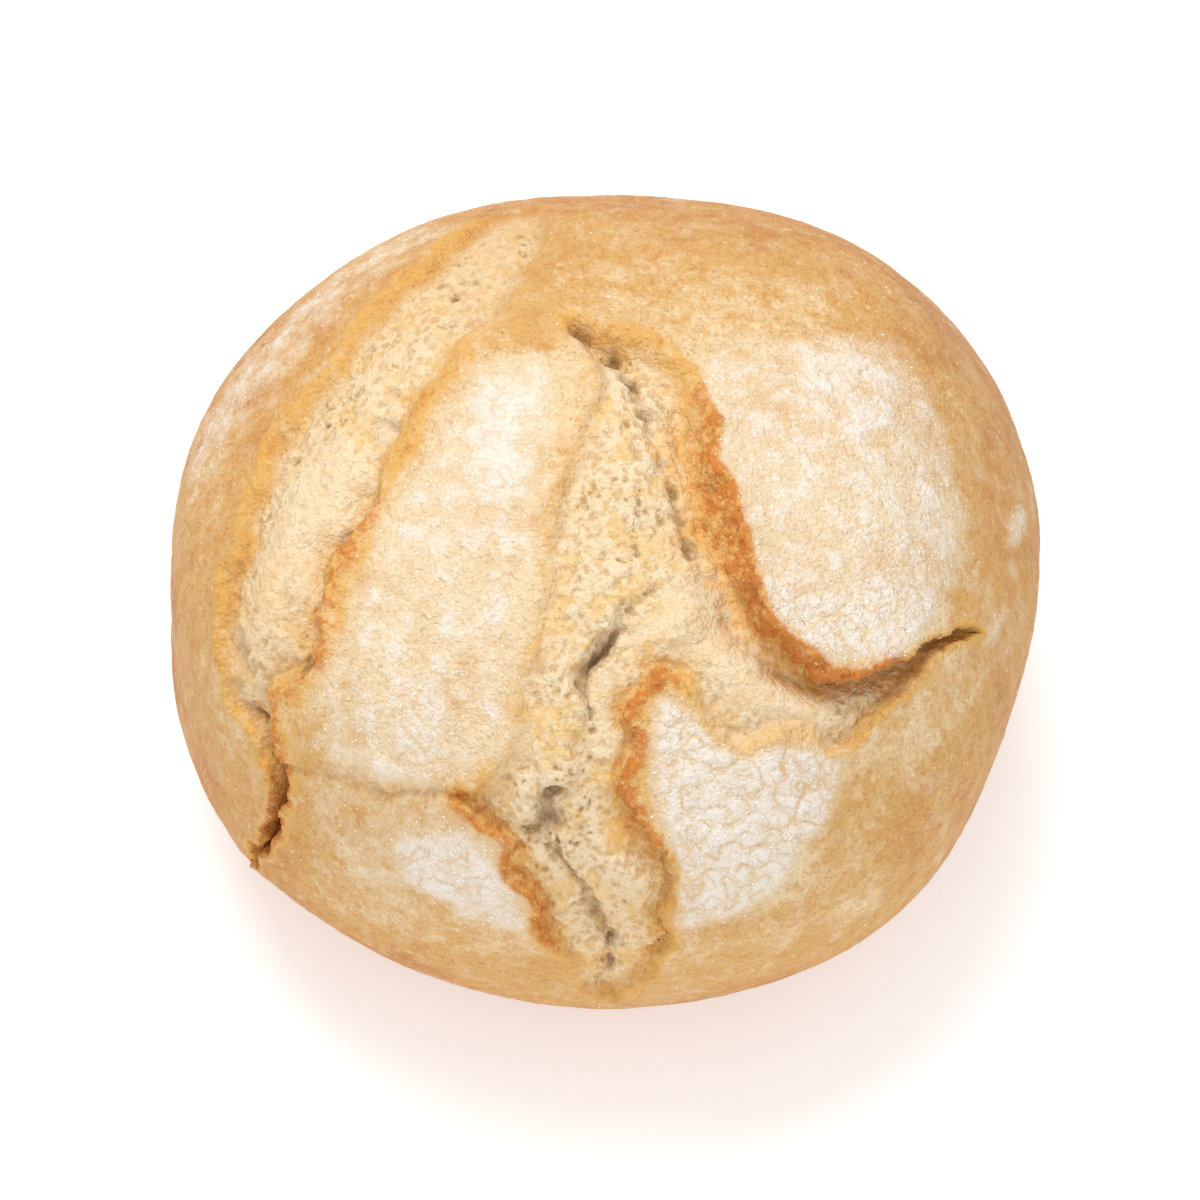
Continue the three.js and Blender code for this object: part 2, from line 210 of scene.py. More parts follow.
@dataclass(frozen=True)
class Dough:
    """The ball of dough before it tore. Its widest belt is below half height."""

    half_width: float = 46.13
    height: float = 61.0
    belt_height: float = 27.0
    keel_depth: float = 30.5
    dome_power: float = 2.2
    side_power: float = 2.5
    belt_waves: tuple = ((1, -0.0022, -0.0177), (2, 0.0168, 0.0126), (3, -0.0135, 0.0114),
                         (4, -0.017, 0.008), (5, -0.0041, -0.0046))
    box_middle: tuple = (-0.3, -1.82, 0.0)

    def points(self, directions: Array) -> Array:
        """Places on the ball in these directions from the middle of its belt."""
        x, y, z = directions.T
        around = np.arctan2(y, x)
        belt = 1 + sum(c * np.cos(n * around) + s * np.sin(n * around) for n, c, s in self.belt_waves)
        half = np.where(z >= 0, self.height - self.belt_height, self.keel_depth)
        power = np.where(z >= 0, self.dome_power, self.side_power)
        radius = ((np.hypot(x, y) / (self.half_width * belt)) ** power
                  + (np.abs(z) / half) ** power) ** (-1 / power)
        return directions * radius[:, None] + (0, 0, self.belt_height)

    def normals(self, directions: Array) -> Array:
        """The ball's outward normals, from short steps across its surface."""
        step = 1e-3
        helper = np.where(np.abs(directions[:, 2:]) < 0.9, (0.0, 0.0, 1.0), (1.0, 0.0, 0.0))
        first = unit(np.cross(helper, directions))
        second = np.cross(directions, first)
        across = [self.points(unit(directions + step * way)) - self.points(unit(directions - step * way))
                  for way in (first, second)]
        return unit(np.cross(*across))


@dataclass(frozen=True)
class Face:
    """The torn face of the roll, which looks up and to the front.

    A place on it is (right, up) in millimetres along the crust from the middle of the face.
    """

    tilt: float = math.radians(58)
    radius: float = 42.0

    @cached_property
    def axes(self) -> tuple[Array, Array, Array]:
        """Unit vectors out of the face, to its right and up it."""
        c, s = math.cos(self.tilt), math.sin(self.tilt)
        return np.array([0, -c, s]), np.array([1.0, 0, 0]), np.array([0, s, c])

    def places(self, directions: Array) -> Array:
        """Turns directions into places on the face."""
        out, right, up = (directions @ axis for axis in self.axes)
        flat = np.maximum(np.hypot(right, up), 1e-9)
        reach = self.radius * np.arctan2(flat, out) / flat
        return np.stack([right * reach, up * reach], axis=1)

    def across(self, directions: Array, steps: Array) -> Array:
        """Turns steps on the face into steps through space, along the surface."""
        out_axis, right_axis, up_axis = self.axes
        right, up = directions @ right_axis, directions @ up_axis
        flat = np.maximum(np.hypot(right, up), 1e-9)
        cosine, sine = (right / flat)[:, None], (up / flat)[:, None]
        radial = (directions @ out_axis)[:, None] * (cosine * right_axis + sine * up_axis) \
            - flat[:, None] * out_axis
        round_about = cosine * up_axis - sine * right_axis
        along = steps[:, :1] * cosine + steps[:, 1:] * sine
        beside = steps[:, 1:] * cosine - steps[:, :1] * sine
        return along * radial + beside * round_about


class Skin:
    """What tears and swellings do to the crust, one value for each corner of its mesh."""

    MARKS = ("brown", "wall", "crumb", "cavity_shade", "hollow", "fold", "flour", "bake_and_shade", "caked")

    def __init__(self, dough: Dough, face: Face, directions: Array) -> None:
        """Starts with the untorn ball."""
        self.directions = directions
        self.ball = dough.points(directions)
        stray = np.stack([0.45 * waves(self.ball, 7, 1), 0.45 * waves(self.ball, 7, 2)], axis=1)
        fray = np.stack([grit(self.ball, 1.7, 11), grit(self.ball, 1.7, 12)], axis=1) * 0.28
        fray += np.stack([grit(self.ball, 0.8, 13), grit(self.ball, 0.8, 14)], axis=1) * 0.14
        self.smooth_places = face.places(directions)
        self.places = self.smooth_places + stray + fray
        self.height = np.zeros(len(directions))
        self.slide = np.zeros((len(directions), 2))
        self.marks = {name: np.zeros(len(directions)) for name in self.MARKS}

    def mark(self, name: str, values: Array) -> None:
        """Raises one of the marks to at least these values."""
        self.marks[name] = np.maximum(self.marks[name], values)

    def points(self, dough: Dough, face: Face) -> Array:
        """Places of the finished crust in the frame, pressed flat where it would sink."""
        moved = self.ball + dough.normals(self.directions) * self.height[:, None]
        moved += face.across(self.directions, self.slide)
        moved[:, 2] = np.maximum(moved[:, 2], 0)
        return moved - np.array(dough.box_middle)


@dataclass(frozen=True)
class Side:
    """One side of a split: the line where its crust ends, and how the dough tore under it.

    The lip stands up from the crust, the wall falls by drop over its width, and under is how far
    the lip hangs over. Brown is how dark its torn wall baked. Gold is how far that reaches into
    the crumb, and over how far it reaches back over the crust. A soft side has no clear edge.
    """

    edge: tuple[Place, ...]
    lip: float
    wall: float
    drop: float
    brown: float
    under: float = 0.0
    gold: float = 1.0
    over: float = 0.75
    soft: float = 0.0


@dataclass(frozen=True)
class Split:
    """A closed loop of sides with the bared crumb between them."""

    sides: tuple[Side, ...]
    lip_reach: float = 2.6
    crumb_reach: float = 3.2
    crumb_level: float = 0.25

    @cached_property
    def loop(self) -> Line:
        """The whole edge, which carries what its sides say along."""
        return Line([(x, y, side.wall, side.under, side.brown, side.gold, side.over, side.soft)
                     for side in self.sides for x, y in side.edge], closed=True)

    @cached_property
    def borders(self) -> list[Line]:
        """Each side by itself, run on to where the next one starts."""
        nexts = self.sides[1:] + self.sides[:1]
        return [Line([*side.edge, after.edge[0]]) for side, after in zip(self.sides, nexts)]

    def tear(self, skin: Skin) -> None:
        """Raises the lips, drops the walls and bares the crumb."""
        near = self.loop.near(skin.places)
        inside = self.loop.holds(skin.places)
        wall, under, brown, gold, over, soft = near.extra.T
        depth_in = np.where(inside, near.distance, 0)
        past_foot = np.maximum(depth_in - wall, 0)
        lips, drops = [], []
        for side, border in zip(self.sides, self.borders):
            gap = border.near(skin.places, reach=14).distance
            lips.append(side.lip * np.exp(-gap / self.lip_reach))
            drops.append(side.drop * np.exp(-np.maximum(gap - side.wall, 0) / self.crumb_reach))
        baked = np.where(inside, np.exp(-np.maximum(depth_in - 0.2 * wall, 0) / (gold + 0.4 * wall)),
                         np.exp(-((near.distance / over) ** 2)))
        skin.mark("brown", brown * baked)
        lip, drop = blend_bumps(lips), blend_bumps(drops)
        fall = smooth_step(depth_in / wall)
        skin.height += np.where(inside, lip * (1 - fall) - (drop + self.crumb_level) * fall, lip)
        hang = np.where(inside, under * (2 * fall - 1) * np.exp(-past_foot),
                        -under * np.exp(-near.distance / 1.5))
        skin.slide += near.away * np.where(inside, -hang, hang)[:, None]
        crisp = np.clip(1 - soft / 3, 0, 1)
        torn = np.where(inside, np.exp(-past_foot / 0.6), np.exp(-((near.distance / 0.35) ** 2)))
        skin.mark("wall", torn * crisp)
        ragged = depth_in + soft * 0.35 * grit(skin.ball, 2.6, 21)
        bared = smooth_step((ragged - 0.6 * wall * crisp) / (0.4 * wall * crisp + 0.3 + soft))
        skin.mark("crumb", np.where(inside, bared, 0))


@dataclass(frozen=True)
class Tear:
    """A narrow tear, deepest along its line. With a step, the dough on its left stands higher."""

    line: tuple[Place, ...]
    width: float
    depth: float
    step: float = 0.0
    ragged: float = 0.35

    def cut(self, skin: Skin) -> None:
        """Cuts the groove, which fades out towards both ends."""
        near = Line(self.line).near(skin.places, reach=9)
        taper = np.sqrt(np.clip(8 * np.minimum(near.along, 1 - near.along), 0, 1))
        width = self.width * (1 + self.ragged * (grit(skin.ball, 2.2, 31) + 0.8 * grit(skin.ball, 0.9, 33)))
        groove = np.exp(-((near.distance / width) ** 2)) * taper
        groove *= 1 - self.ragged * (1 + grit(skin.ball, 2.4, 32)) * 0.6
        skin.height -= self.depth * groove
        side = np.where(near.on_left, 0.5, -0.5) * (1 - np.exp(-((near.distance / 0.5) ** 2)))
        skin.height += self.step * side * np.exp(-near.distance / 2.5) * taper
        # Painted shade: marks the groove to be darkened in the colour.
        skin.mark("cavity_shade", groove * min(self.depth / 1.8, 1))


@dataclass(frozen=True)
class Swell:
    """A soft swelling along a line."""

    line: tuple[Place, ...]
    width: float
    height: float

    def raise_up(self, skin: Skin) -> None:
        """Raises the swelling."""
        gap = Line(self.line).near(skin.places, reach=3 * self.width).distance
        skin.height += self.height * np.exp(-((gap / self.width) ** 2))


@dataclass(frozen=True)
class Bubble:
    """A gas bubble that the tear cut open, stretched up or across by its two radii. Dark is how much painted
    shade darkens its bowl.
    """

    at: Place
    radius: float
    depth: float
    stretch: float = 1.0
    dark: float = 0.35

    def open(self, skin: Skin) -> None:
        """Hollows it out, with a smooth floor."""
        off = (skin.smooth_places - self.at) / (self.radius, self.radius * self.stretch)
        off = np.linalg.norm(off, axis=1) * (1 + 0.12 * grit(skin.ball, 1.5, 41))
        bowl = np.where(off < 1, 1 - off**4, 0)
        skin.height -= self.depth * bowl
        # Painted shade: marks the bowl to be darkened in the colour, as much as dark says.
        skin.mark("cavity_shade", self.dark * bowl)
        skin.mark("hollow", smooth_step((1.1 - off) / 0.35) * (1 - self.dark))


class FlourLook(Enum):
    """How flour lies on the crust: the share of it that caked into lumps."""

    DUST = 0.0
    POWDER = 0.35
    FLAKES = 0.7
    LUMPS = 1.0


@dataclass(frozen=True)
class FlourPatch:
    """A patch of flour inside an outline on the face."""

    outline: tuple[Place, ...]
    density: float
    look: FlourLook
    soft: float = 2.5

    def dust(self, skin: Skin) -> None:
        """Marks the crust that the flour covers, fading over its soft edge."""
        cover = self.density * covered(self.outline, skin.smooth_places, self.soft)
        more = cover > skin.marks["flour"]
        skin.marks["caked"] = np.where(more, self.look.value, skin.marks["caked"])
        skin.mark("flour", cover)


@dataclass(frozen=True)
class Fold:
    """A fold of dough inside a split that stayed smooth, inside an outline on the face."""

    outline: tuple[Place, ...]
    soft: float = 1.5

    def smooth(self, skin: Skin) -> None:
        """Marks the smooth part."""
        skin.mark("fold", covered(self.outline, skin.places, self.soft))


LEFT_SPLIT = Split((
    Side(((-21, 57), (-29, 46.5), (-34, 39), (-38.5, 29.5), (-42, 23), (-44, 16)),
         lip=0.35, wall=2.2, drop=0.7, brown=0.32, gold=0.6, over=1.2, soft=1.2),
    Side(((-44, 8), (-44.5, -0.5), (-44, -7), (-42.5, -13), (-39.5, -18)),
         lip=0.45, wall=1.8, drop=1, brown=0.28, gold=0.5, over=0.8, soft=0.8),
    Side(((-38.3, -22.5), (-40, -27.5), (-50, -38.6)),
         lip=0.5, wall=0.8, drop=1.6, brown=0.7, under=0.3),
    Side(((-49.3, -39.2), (-39, -30), (-35.5, -24), (-34.5, -19.5)),
         lip=0.7, wall=0.9, drop=1.8, brown=0.75, under=0.2, over=1),
    Side(((-36, -15), (-36, -12), (-32.5, -10), (-31, -6), (-31, -2), (-30.5, 3), (-28.5, 6.5)),
         lip=0.6, wall=2.6, drop=1.8, brown=0.66, under=0.1, gold=1.2, over=2.4, soft=0.4),
    Side(((-27.5, 11.5), (-26.5, 16.5), (-25, 22.5), (-20.5, 30.5)),
         lip=0.35, wall=3, drop=1.1, brown=0.5, gold=1, over=2, soft=2),
    Side(((-14.5, 40.5), (-10, 49)), lip=0.2, wall=3, drop=0.8, brown=0.15, over=2, soft=3.5),
    Side(((-8.5, 57), (-10, 63), (-15, 62)), lip=0.05, wall=3, drop=0.3, brown=0.05, soft=4.5),
))
RIGHT_SPLIT = Split((
    Side(((-6.5, 38.5), (0, 37.5), (6.5, 35), (12, 29)),
         lip=0.5, wall=4.5, drop=1.8, brown=0.45, gold=1.5, over=1.2, soft=1.2),
    Side(((14, 22), (14.5, 14.5)), lip=1.1, wall=4, drop=2.8, brown=0.72, gold=2.4, over=0.9),
    Side(((15.5, 9.5), (16.5, 4.5)), lip=1.1, wall=4, drop=2.8, brown=0.95, gold=2.2, over=0.9),
    Side(((17.5, -1.5), (19.5, -6), (23, -8), (26.5, -8.8), (29.5, -7.8)),
         lip=1.4, wall=2.2, drop=3.2, brown=0.98, under=0.6, gold=1.3, over=1),
    Side(((33, -6.2), (37.5, -5), (42, -4.6)),
         lip=0.7, wall=1.2, drop=2.2, brown=0.5, under=0.5),
    Side(((45, -5.4), (39.5, -7.7), (36, -9.7), (32, -12.2), (29, -14.5), (26.5, -17)),
         lip=0.5, wall=1, drop=1.4, brown=0.4, under=0.1, gold=1.4),
    Side(((24, -17.5), (19, -16.5), (15, -17.5), (12.5, -17), (10, -14.5), (8, -11)),
         lip=0.3, wall=2.2, drop=1, brown=0.27, gold=1.8, soft=1.4),
    Side(((6, -9.3), (4, -11.5), (3, -14.5), (3, -18.5), (2.5, -21.5), (3.2, -24)),
         lip=0.6, wall=1.8, drop=1.5, brown=0.95, under=0.1, gold=1.1, over=1.5),
    Side(((5.5, -26), (7, -29.5), (6.8, -34.5), (6.5, -40)),
         lip=0.45, wall=1.2, drop=1.5, brown=0.48, gold=3.2, under=0.1),
    Side(((5, -45), (2.5, -50), (-1.5, -52), (-4.5, -44.5)),
         lip=0.2, wall=2, drop=0.8, brown=0.3, gold=3, soft=2),
    Side(((-7.5, -37.5), (-8.5, -33), (-10, -29.5), (-12, -26.5), (-14.5, -23.5), (-16.5, -22)),
         lip=0.6, wall=1.4, drop=1.6, brown=0.8, under=0.2, gold=1.2, over=1.2),
    Side(((-13, -20.5), (-10.5, -16.5), (-9.5, -10.5), (-8, -2), (-7, 6), (-6, 15), (-3.5, 22),
          (-2.5, 29), (-5, 34.5)),
         lip=0.3, wall=2.5, drop=0.8, brown=0.22, gold=2.5, over=1.6, soft=3),
))
TEARS = (
    Tear(((-6, 37.8), (0.5, 34), (5, 24.5), (8.5, 13.5), (10, 4), (12.5, 1)),
         width=1, depth=1.4, ragged=0.6),
    Tear(((12.5, 1), (16, -7.5), (21.5, -10.2), (26.5, -11), (31, -10), (41, -5.6)), width=1, depth=1),
    Tear(((7.6, 0.6), (4.5, -0.9), (2.1, -2.6), (1, -4.4), (-0.9, -6.9), (-2.3, -9.7), (-2.6, -11.6),
          (-2.3, -14), (-2.8, -16.6), (-3.6, -19.8), (-5.3, -21.7)),
         width=0.6, depth=0.7, step=-0.9, ragged=0.6),
    Tear(((1.5, -3.6), (-0.9, -6.9), (-2.3, -9.7), (-2.6, -11.6), (-2.3, -14.5)),
         width=0.85, depth=2.2, ragged=0.45),
    Tear(((-4.5, -20.8), (-6.9, -24.6), (-8.6, -26.8)), width=1.3, depth=2.2, ragged=0.3),
    Tear(((-6, -27), (-5.3, -28.2), (-3.6, -31.1), (-2.3, -33.4), (-0.9, -36.1), (-0.3, -38.5),
          (0, -42), (-0.4, -53)), width=0.9, depth=2.2, ragged=0.6),
    Tear(((-36, -19.5), (-29, -20), (-22.5, -21.5), (-14.5, -22)), width=0.7, depth=0.8, step=0.3),
    Tear(((-41.5, -12.5), (-37, -19), (-38.5, -27.5), (-50.5, -39.5)), width=0.9, depth=1.7, ragged=0.5),
)
SWELLS = (
    Swell(((-1, 28), (1, 16), (0.5, 6), (-3, -5), (-6, -18)), width=3.6, height=1),
    Swell(((9, -4), (4, -8), (0.5, -13), (0.5, -20)), width=1.7, height=0.9),
    Swell(((13, -9), (22, -13.5), (28, -12.5)), width=2.4, height=0.5),
    Swell(((1, -27), (3.5, -34), (3.5, -42)), width=2, height=0.8),
    Swell(((-9, -29), (-4, -38), (-3, -46)), width=1.8, height=0.6),
    Swell(((-22, 34), (-34, 16), (-38, 0), (-39, -8)), width=3.4, height=0.8),
    Swell(((-14, 26), (-19, 4), (-24, -12)), width=8, height=0.9),
    Swell(((30, 22), (33, 6)), width=11, height=0.9),
    Swell(((16, -28), (14, -38)), width=8, height=0.7),
    Swell(((-26, -28), (-18, -34)), width=7, height=0.6),
)
BUBBLES = (
    Bubble((-28.9, 20.8), radius=2, depth=1.1, dark=0.1),
    Bubble((-28.9, 25.9), radius=1.2, depth=0.8, dark=0.3),
    Bubble((-41.2, -7.2), radius=1.3, depth=1.1, stretch=2.1, dark=0.1),
    Bubble((-31.2, 6), radius=1.5, depth=0.9),
    Bubble((-32.6, -8.6), radius=1.4, depth=1, dark=0.8),
    Bubble((-4.2, 36.6), radius=1.7, depth=0.9, dark=0.7),
    Bubble((0.6, 33.6), radius=1.6, depth=1, dark=1),
    Bubble((3.1, 29.2), radius=1.4, depth=0.9, dark=0.9),
    Bubble((5, 24), radius=1.3, depth=0.8, dark=0.8),
    Bubble((8.3, 13), radius=1, depth=0.8, dark=0.8, stretch=1.6),
    Bubble((9.7, 4.6), radius=1, depth=0.9, dark=0.8, stretch=1.4),
    Bubble((-22.3, 42.2), radius=0.8, depth=0.8, dark=0.9, stretch=1.3),
    Bubble((-24.4, 43.8), radius=0.6, depth=0.6, dark=0.8),
    Bubble((-21.4, 44.6), radius=0.6, depth=0.6, dark=0.7),
    Bubble((-22.2, 37.4), radius=0.9, depth=0.6, dark=0.5),
    Bubble((-38.2, 25.2), radius=0.6, depth=0.5, dark=0.8),
    Bubble((-36.9, 21.5), radius=0.55, depth=0.5, dark=0.9),
    Bubble((-34, 26.2), radius=0.5, depth=0.5, dark=0.8),
    Bubble((-39.8, 16.2), radius=0.6, depth=0.5, dark=0.7),
)
FOLDS = (
    Fold(((8, 1), (13, 1), (17, -5), (22, -10), (27, -12), (20, -15), (12, -13), (7, -7), (3, -5))),
    Fold(((0, -10), (5, -8), (2.5, -16), (-1, -17)), soft=1),
    Fold(((-36, 19), (-31, 14), (-33, 0), (-38, -6), (-41, 2), (-40, 12)), soft=2.5),
)
FLOUR = (
    FlourPatch(((-15.5, 32.2), (-7.6, 29.7), (-6.9, 10.1), (-8.8, -6.7), (-12.1, -18.3),
                (-20.7, -20.7), (-30.7, -17.2), (-28, -1.5), (-25.9, 10), (-21, 23.1)),
               0.5, FlourLook.POWDER),
    FlourPatch(((-18.4, 28.8), (-9, 29.2), (-7.6, 19.3), (-9.1, 9.1), (-15.9, 7.7), (-19.9, 15.3)),
               0.72, FlourLook.FLAKES, 4.5),
    FlourPatch(((-21.7, -9.9), (-17.6, -8.7), (-16, -14.8), (-18.6, -19.4), (-23.2, -17.9)),
               0.7, FlourLook.LUMPS, 2),
    FlourPatch(((13.4, 32.3), (22.7, 34), (33.3, 33.8), (38.7, 31), (42.9, 22.9), (44.7, 13.5),
                (43.5, 4.3), (37.5, -4.2), (30, -7.6), (24.9, -8.1), (19.8, -5.8), (16.5, -0.6),
                (14.5, 7), (12.6, 19.2)), 0.56, FlourLook.FLAKES, 2),
    FlourPatch(((23.5, 31), (31.4, 32.9), (39.3, 29.8), (39, 22), (33.1, 16), (25.9, 16.7)),
               0.7, FlourLook.FLAKES, 4),
    FlourPatch(((16.7, 1.3), (23.5, -0.6), (30.7, 1.3), (37.8, -1.8), (32.7, -7.1), (24.9, -8.4),
                (18.4, -4.6)), 0.8, FlourLook.LUMPS, 1.8),
    FlourPatch(((25.5, 13.5), (34.1, 16), (42.4, 12), (41, 3.6), (32, 3.2), (24.4, 5.7)),
               0.62, FlourLook.FLAKES),
    FlourPatch(((-32.2, -22.4), (-20.7, -20.7), (-15.3, -22.6), (-11.9, -27.9), (-9.1, -36.5),
                (-17.2, -36.2), (-27.5, -34.4)), 0.3, FlourLook.POWDER),
    FlourPatch(((-22, -26), (-13, -25.5), (-8.8, -36.8), (-14.9, -36.5), (-22, -32)),
               0.8, FlourLook.FLAKES, 3),
    FlourPatch(((5.3, -12.6), (9.1, -13.9), (13.2, -16.5), (18.8, -16.4), (24, -17.4), (23.6, -23),
                (19.6, -28.6), (15.8, -33), (11.5, -35), (7.6, -35.5), (7.1, -29.1), (4.9, -21.1)),
               0.9, FlourLook.LUMPS, 2),
    FlourPatch(((-52, 14), (-46, 28), (-36, 44), (-26, 56), (-34, 58), (-48, 42), (-58, 20)),
               0.52, FlourLook.DUST, 5),
    FlourPatch(((43.9, -6.9), (47.1, -3.8), (50.6, -2.6), (48.1, -6.5)), 0.56, FlourLook.FLAKES, 1.6),
    FlourPatch(((52.6, 5.6), (55, 11), (59, 10.3), (55.4, 5.9)), 0.56, FlourLook.FLAKES, 1.6),
)


class DirectionMesh:
    """A closed mesh of directions, finer where the crust has more to show."""

    def __init__(self) -> None:
        """Starts with the twenty faces of an icosahedron."""
        long = (1 + 5**0.5) / 2
        signs = [(a, b) for a in (-1, 1) for b in (-1, 1)]
        corners = [(0, a, b * long) for a, b in signs]
        corners += [(a, b * long, 0) for a, b in signs]
        corners += [(b * long, 0, a) for a, b in signs]
        self.directions = unit(np.array(corners, float))
        ids = np.array([(i, j, k) for i in range(12) for j in range(i) for k in range(j)])
        spans = [np.linalg.norm(self.directions[ids[:, a]] - self.directions[ids[:, b]], axis=1)
                 for a, b in ((0, 1), (1, 2), (2, 0))]
        ids = ids[np.max(spans, axis=0) < np.min(spans) * 1.01]
        first, second, third = (self.directions[ids[:, k]] for k in range(3))
        inward = (np.cross(second - first, third - first) * first).sum(1) < 0
        ids[inward] = ids[inward][:, ::-1]
        self.triangles = ids

    def halve(self, dough: Dough, longest: "EdgeLengths") -> bool:
        """Cuts each edge that is too long at its middle, with no gaps.

        Args:
            dough: the ball that the edges are measured on.
            longest: how long an edge may be, for each direction.

        Returns:
            Whether any edge was cut.
        """
        triangles, count = self.triangles, len(self.directions)
        ends = np.sort(np.concatenate([triangles[:, [k, (k + 1) % 3]] for k in range(3)]), axis=1)
        keys, which = np.unique(ends[:, 0] * count + ends[:, 1], return_inverse=True)
        first, second = self.directions[keys // count], self.directions[keys % count]
        middles = unit(first + second)
        too_long = np.linalg.norm(dough.points(first) - dough.points(second), axis=1) > longest.at(middles)
        if not too_long.any():
            return False
        numbers = np.full(len(keys), -1)
        numbers[too_long] = count + np.arange(too_long.sum())
        self.directions = np.vstack([self.directions, middles[too_long]])
        cuts = numbers[which].reshape(3, -1).T
        amount = (cuts >= 0).sum(1)
        made = [triangles[amount == 0]]
        for turn in range(3):
            order = [turn, (turn + 1) % 3, (turn + 2) % 3]
            (a, b, c), (ab, bc, _) = triangles[:, order].T, cuts[:, order].T
            one = (amount == 1) & (ab >= 0)
            made += [np.stack(rows, 1)[one] for rows in ((a, ab, c), (ab, b, c))]
            two = (amount == 2) & (ab >= 0) & (bc >= 0)
            gap = self.directions[a] - self.directions[bc], self.directions[ab] - self.directions[c]
            short = np.linalg.norm(gap[0], axis=1) < np.linalg.norm(gap[1], axis=1)
            made.append(np.stack((ab, b, bc), 1)[two])
            made += [np.stack(rows, 1)[two & short] for rows in ((a, ab, bc), (a, bc, c))]
            made += [np.stack(rows, 1)[two & ~short] for rows in ((a, ab, c), (ab, bc, c))]
        (a, b, c), (ab, bc, ca) = triangles[amount == 3].T, cuts[amount == 3].T
        made += [np.stack(rows, 1) for rows in ((a, ab, ca), (ab, b, bc), (ca, bc, c), (ab, bc, ca))]
        self.triangles = np.vstack(made)
        return True

    def relax(self, rounds: int) -> None:
        """Evens out the triangles by moving corners halfway to the mean of their neighbours."""
        starts, stops = np.concatenate([self.triangles[:, [k, (k + 1) % 3]] for k in range(3)]).T
        count = len(self.directions)
        shares = np.bincount(starts, minlength=count)[:, None]
        for _ in range(rounds):
            sums = [np.bincount(starts, self.directions[stops, axis], count) for axis in range(3)]
            self.directions = unit(self.directions + np.stack(sums, 1) / shares)


@dataclass(frozen=True)
class EdgeLengths:
    """How long a triangle's edge may be, by place: a table over the face, read between its rows."""

    face: Face
    coarse: float = 1.0
    fine: float = 0.39
    floured: float = 0.55
    growth: float = 0.16
    front: float = 0.82
    back: float = 1.7
    underside: float = 2.6
    span: float = 96.0
    spacing: float = 0.8

    @cached_property
    def table(self) -> Array:
        """The lengths on a square grid of places."""
        ticks = np.arange(-self.span, self.span + self.spacing, self.spacing)
        across, up = np.meshgrid(ticks, ticks, indexing="ij")
        places = np.stack([across.ravel(), up.ravel()], axis=1)
        gap = np.full(len(places), Line.FAR)
        for split in (LEFT_SPLIT, RIGHT_SPLIT):
            away = split.loop.near(places, reach=12).distance
            gap = np.minimum(gap, np.where(split.loop.holds(places), 0, away))
        for tear in TEARS:
            gap = np.minimum(gap, Line(tear.line).near(places, reach=12).distance)
        lengths = self.fine * self.coarse + self.growth * gap
        for patch in FLOUR:
            line = Line(patch.outline, closed=True)
            off = np.where(line.holds(places), 0, line.near(places, reach=12).distance)
            lengths = np.minimum(lengths, self.floured * self.coarse + self.growth * off)
        front = self.front * self.coarse
        plain = front + (self.back - front) * smooth_step((np.hypot(*places.T) - 48) / 25)
        return np.minimum(lengths, plain).reshape(across.shape)

    def at(self, directions: Array) -> Array:
        """Reads the table in these directions."""
        steps = (self.face.places(directions) + self.span) / self.spacing
        low = np.clip(np.floor(steps).astype(int), 0, len(self.table) - 2)
        (i, j), (s, t) = low.T, np.clip(steps - low, 0, 1).T
        table = self.table
        length = (table[i, j] * (1 - s) * (1 - t) + table[i + 1, j] * s * (1 - t)
                  + table[i, j + 1] * (1 - s) * t + table[i + 1, j + 1] * s * t)
        return np.where(directions[:, 2] < -0.62, self.underside, length)


class Wire:
    """One output of a node, with arithmetic that adds Math nodes."""

    def __init__(self, bench: "Bench", socket: bpy.types.NodeSocket) -> None:
        """Keeps the socket and the bench that its tree is built on."""
        self.bench = bench
        self.socket = socket

    def __add__(self, other: "Number") -> "Wire":
        """This plus other."""
        return self.bench.maths("ADD", self, other)

    def __sub__(self, other: "Number") -> "Wire":
        """This minus other."""
        return self.bench.maths("SUBTRACT", self, other)

    def __rsub__(self, other: "Number") -> "Wire":
        """Other minus this."""
        return self.bench.maths("SUBTRACT", other, self)

    def __mul__(self, other: "Number") -> "Wire":
        """This times other."""
        return self.bench.maths("MULTIPLY", self, other)

    __radd__ = __add__
    __rmul__ = __mul__


Number = Wire | float


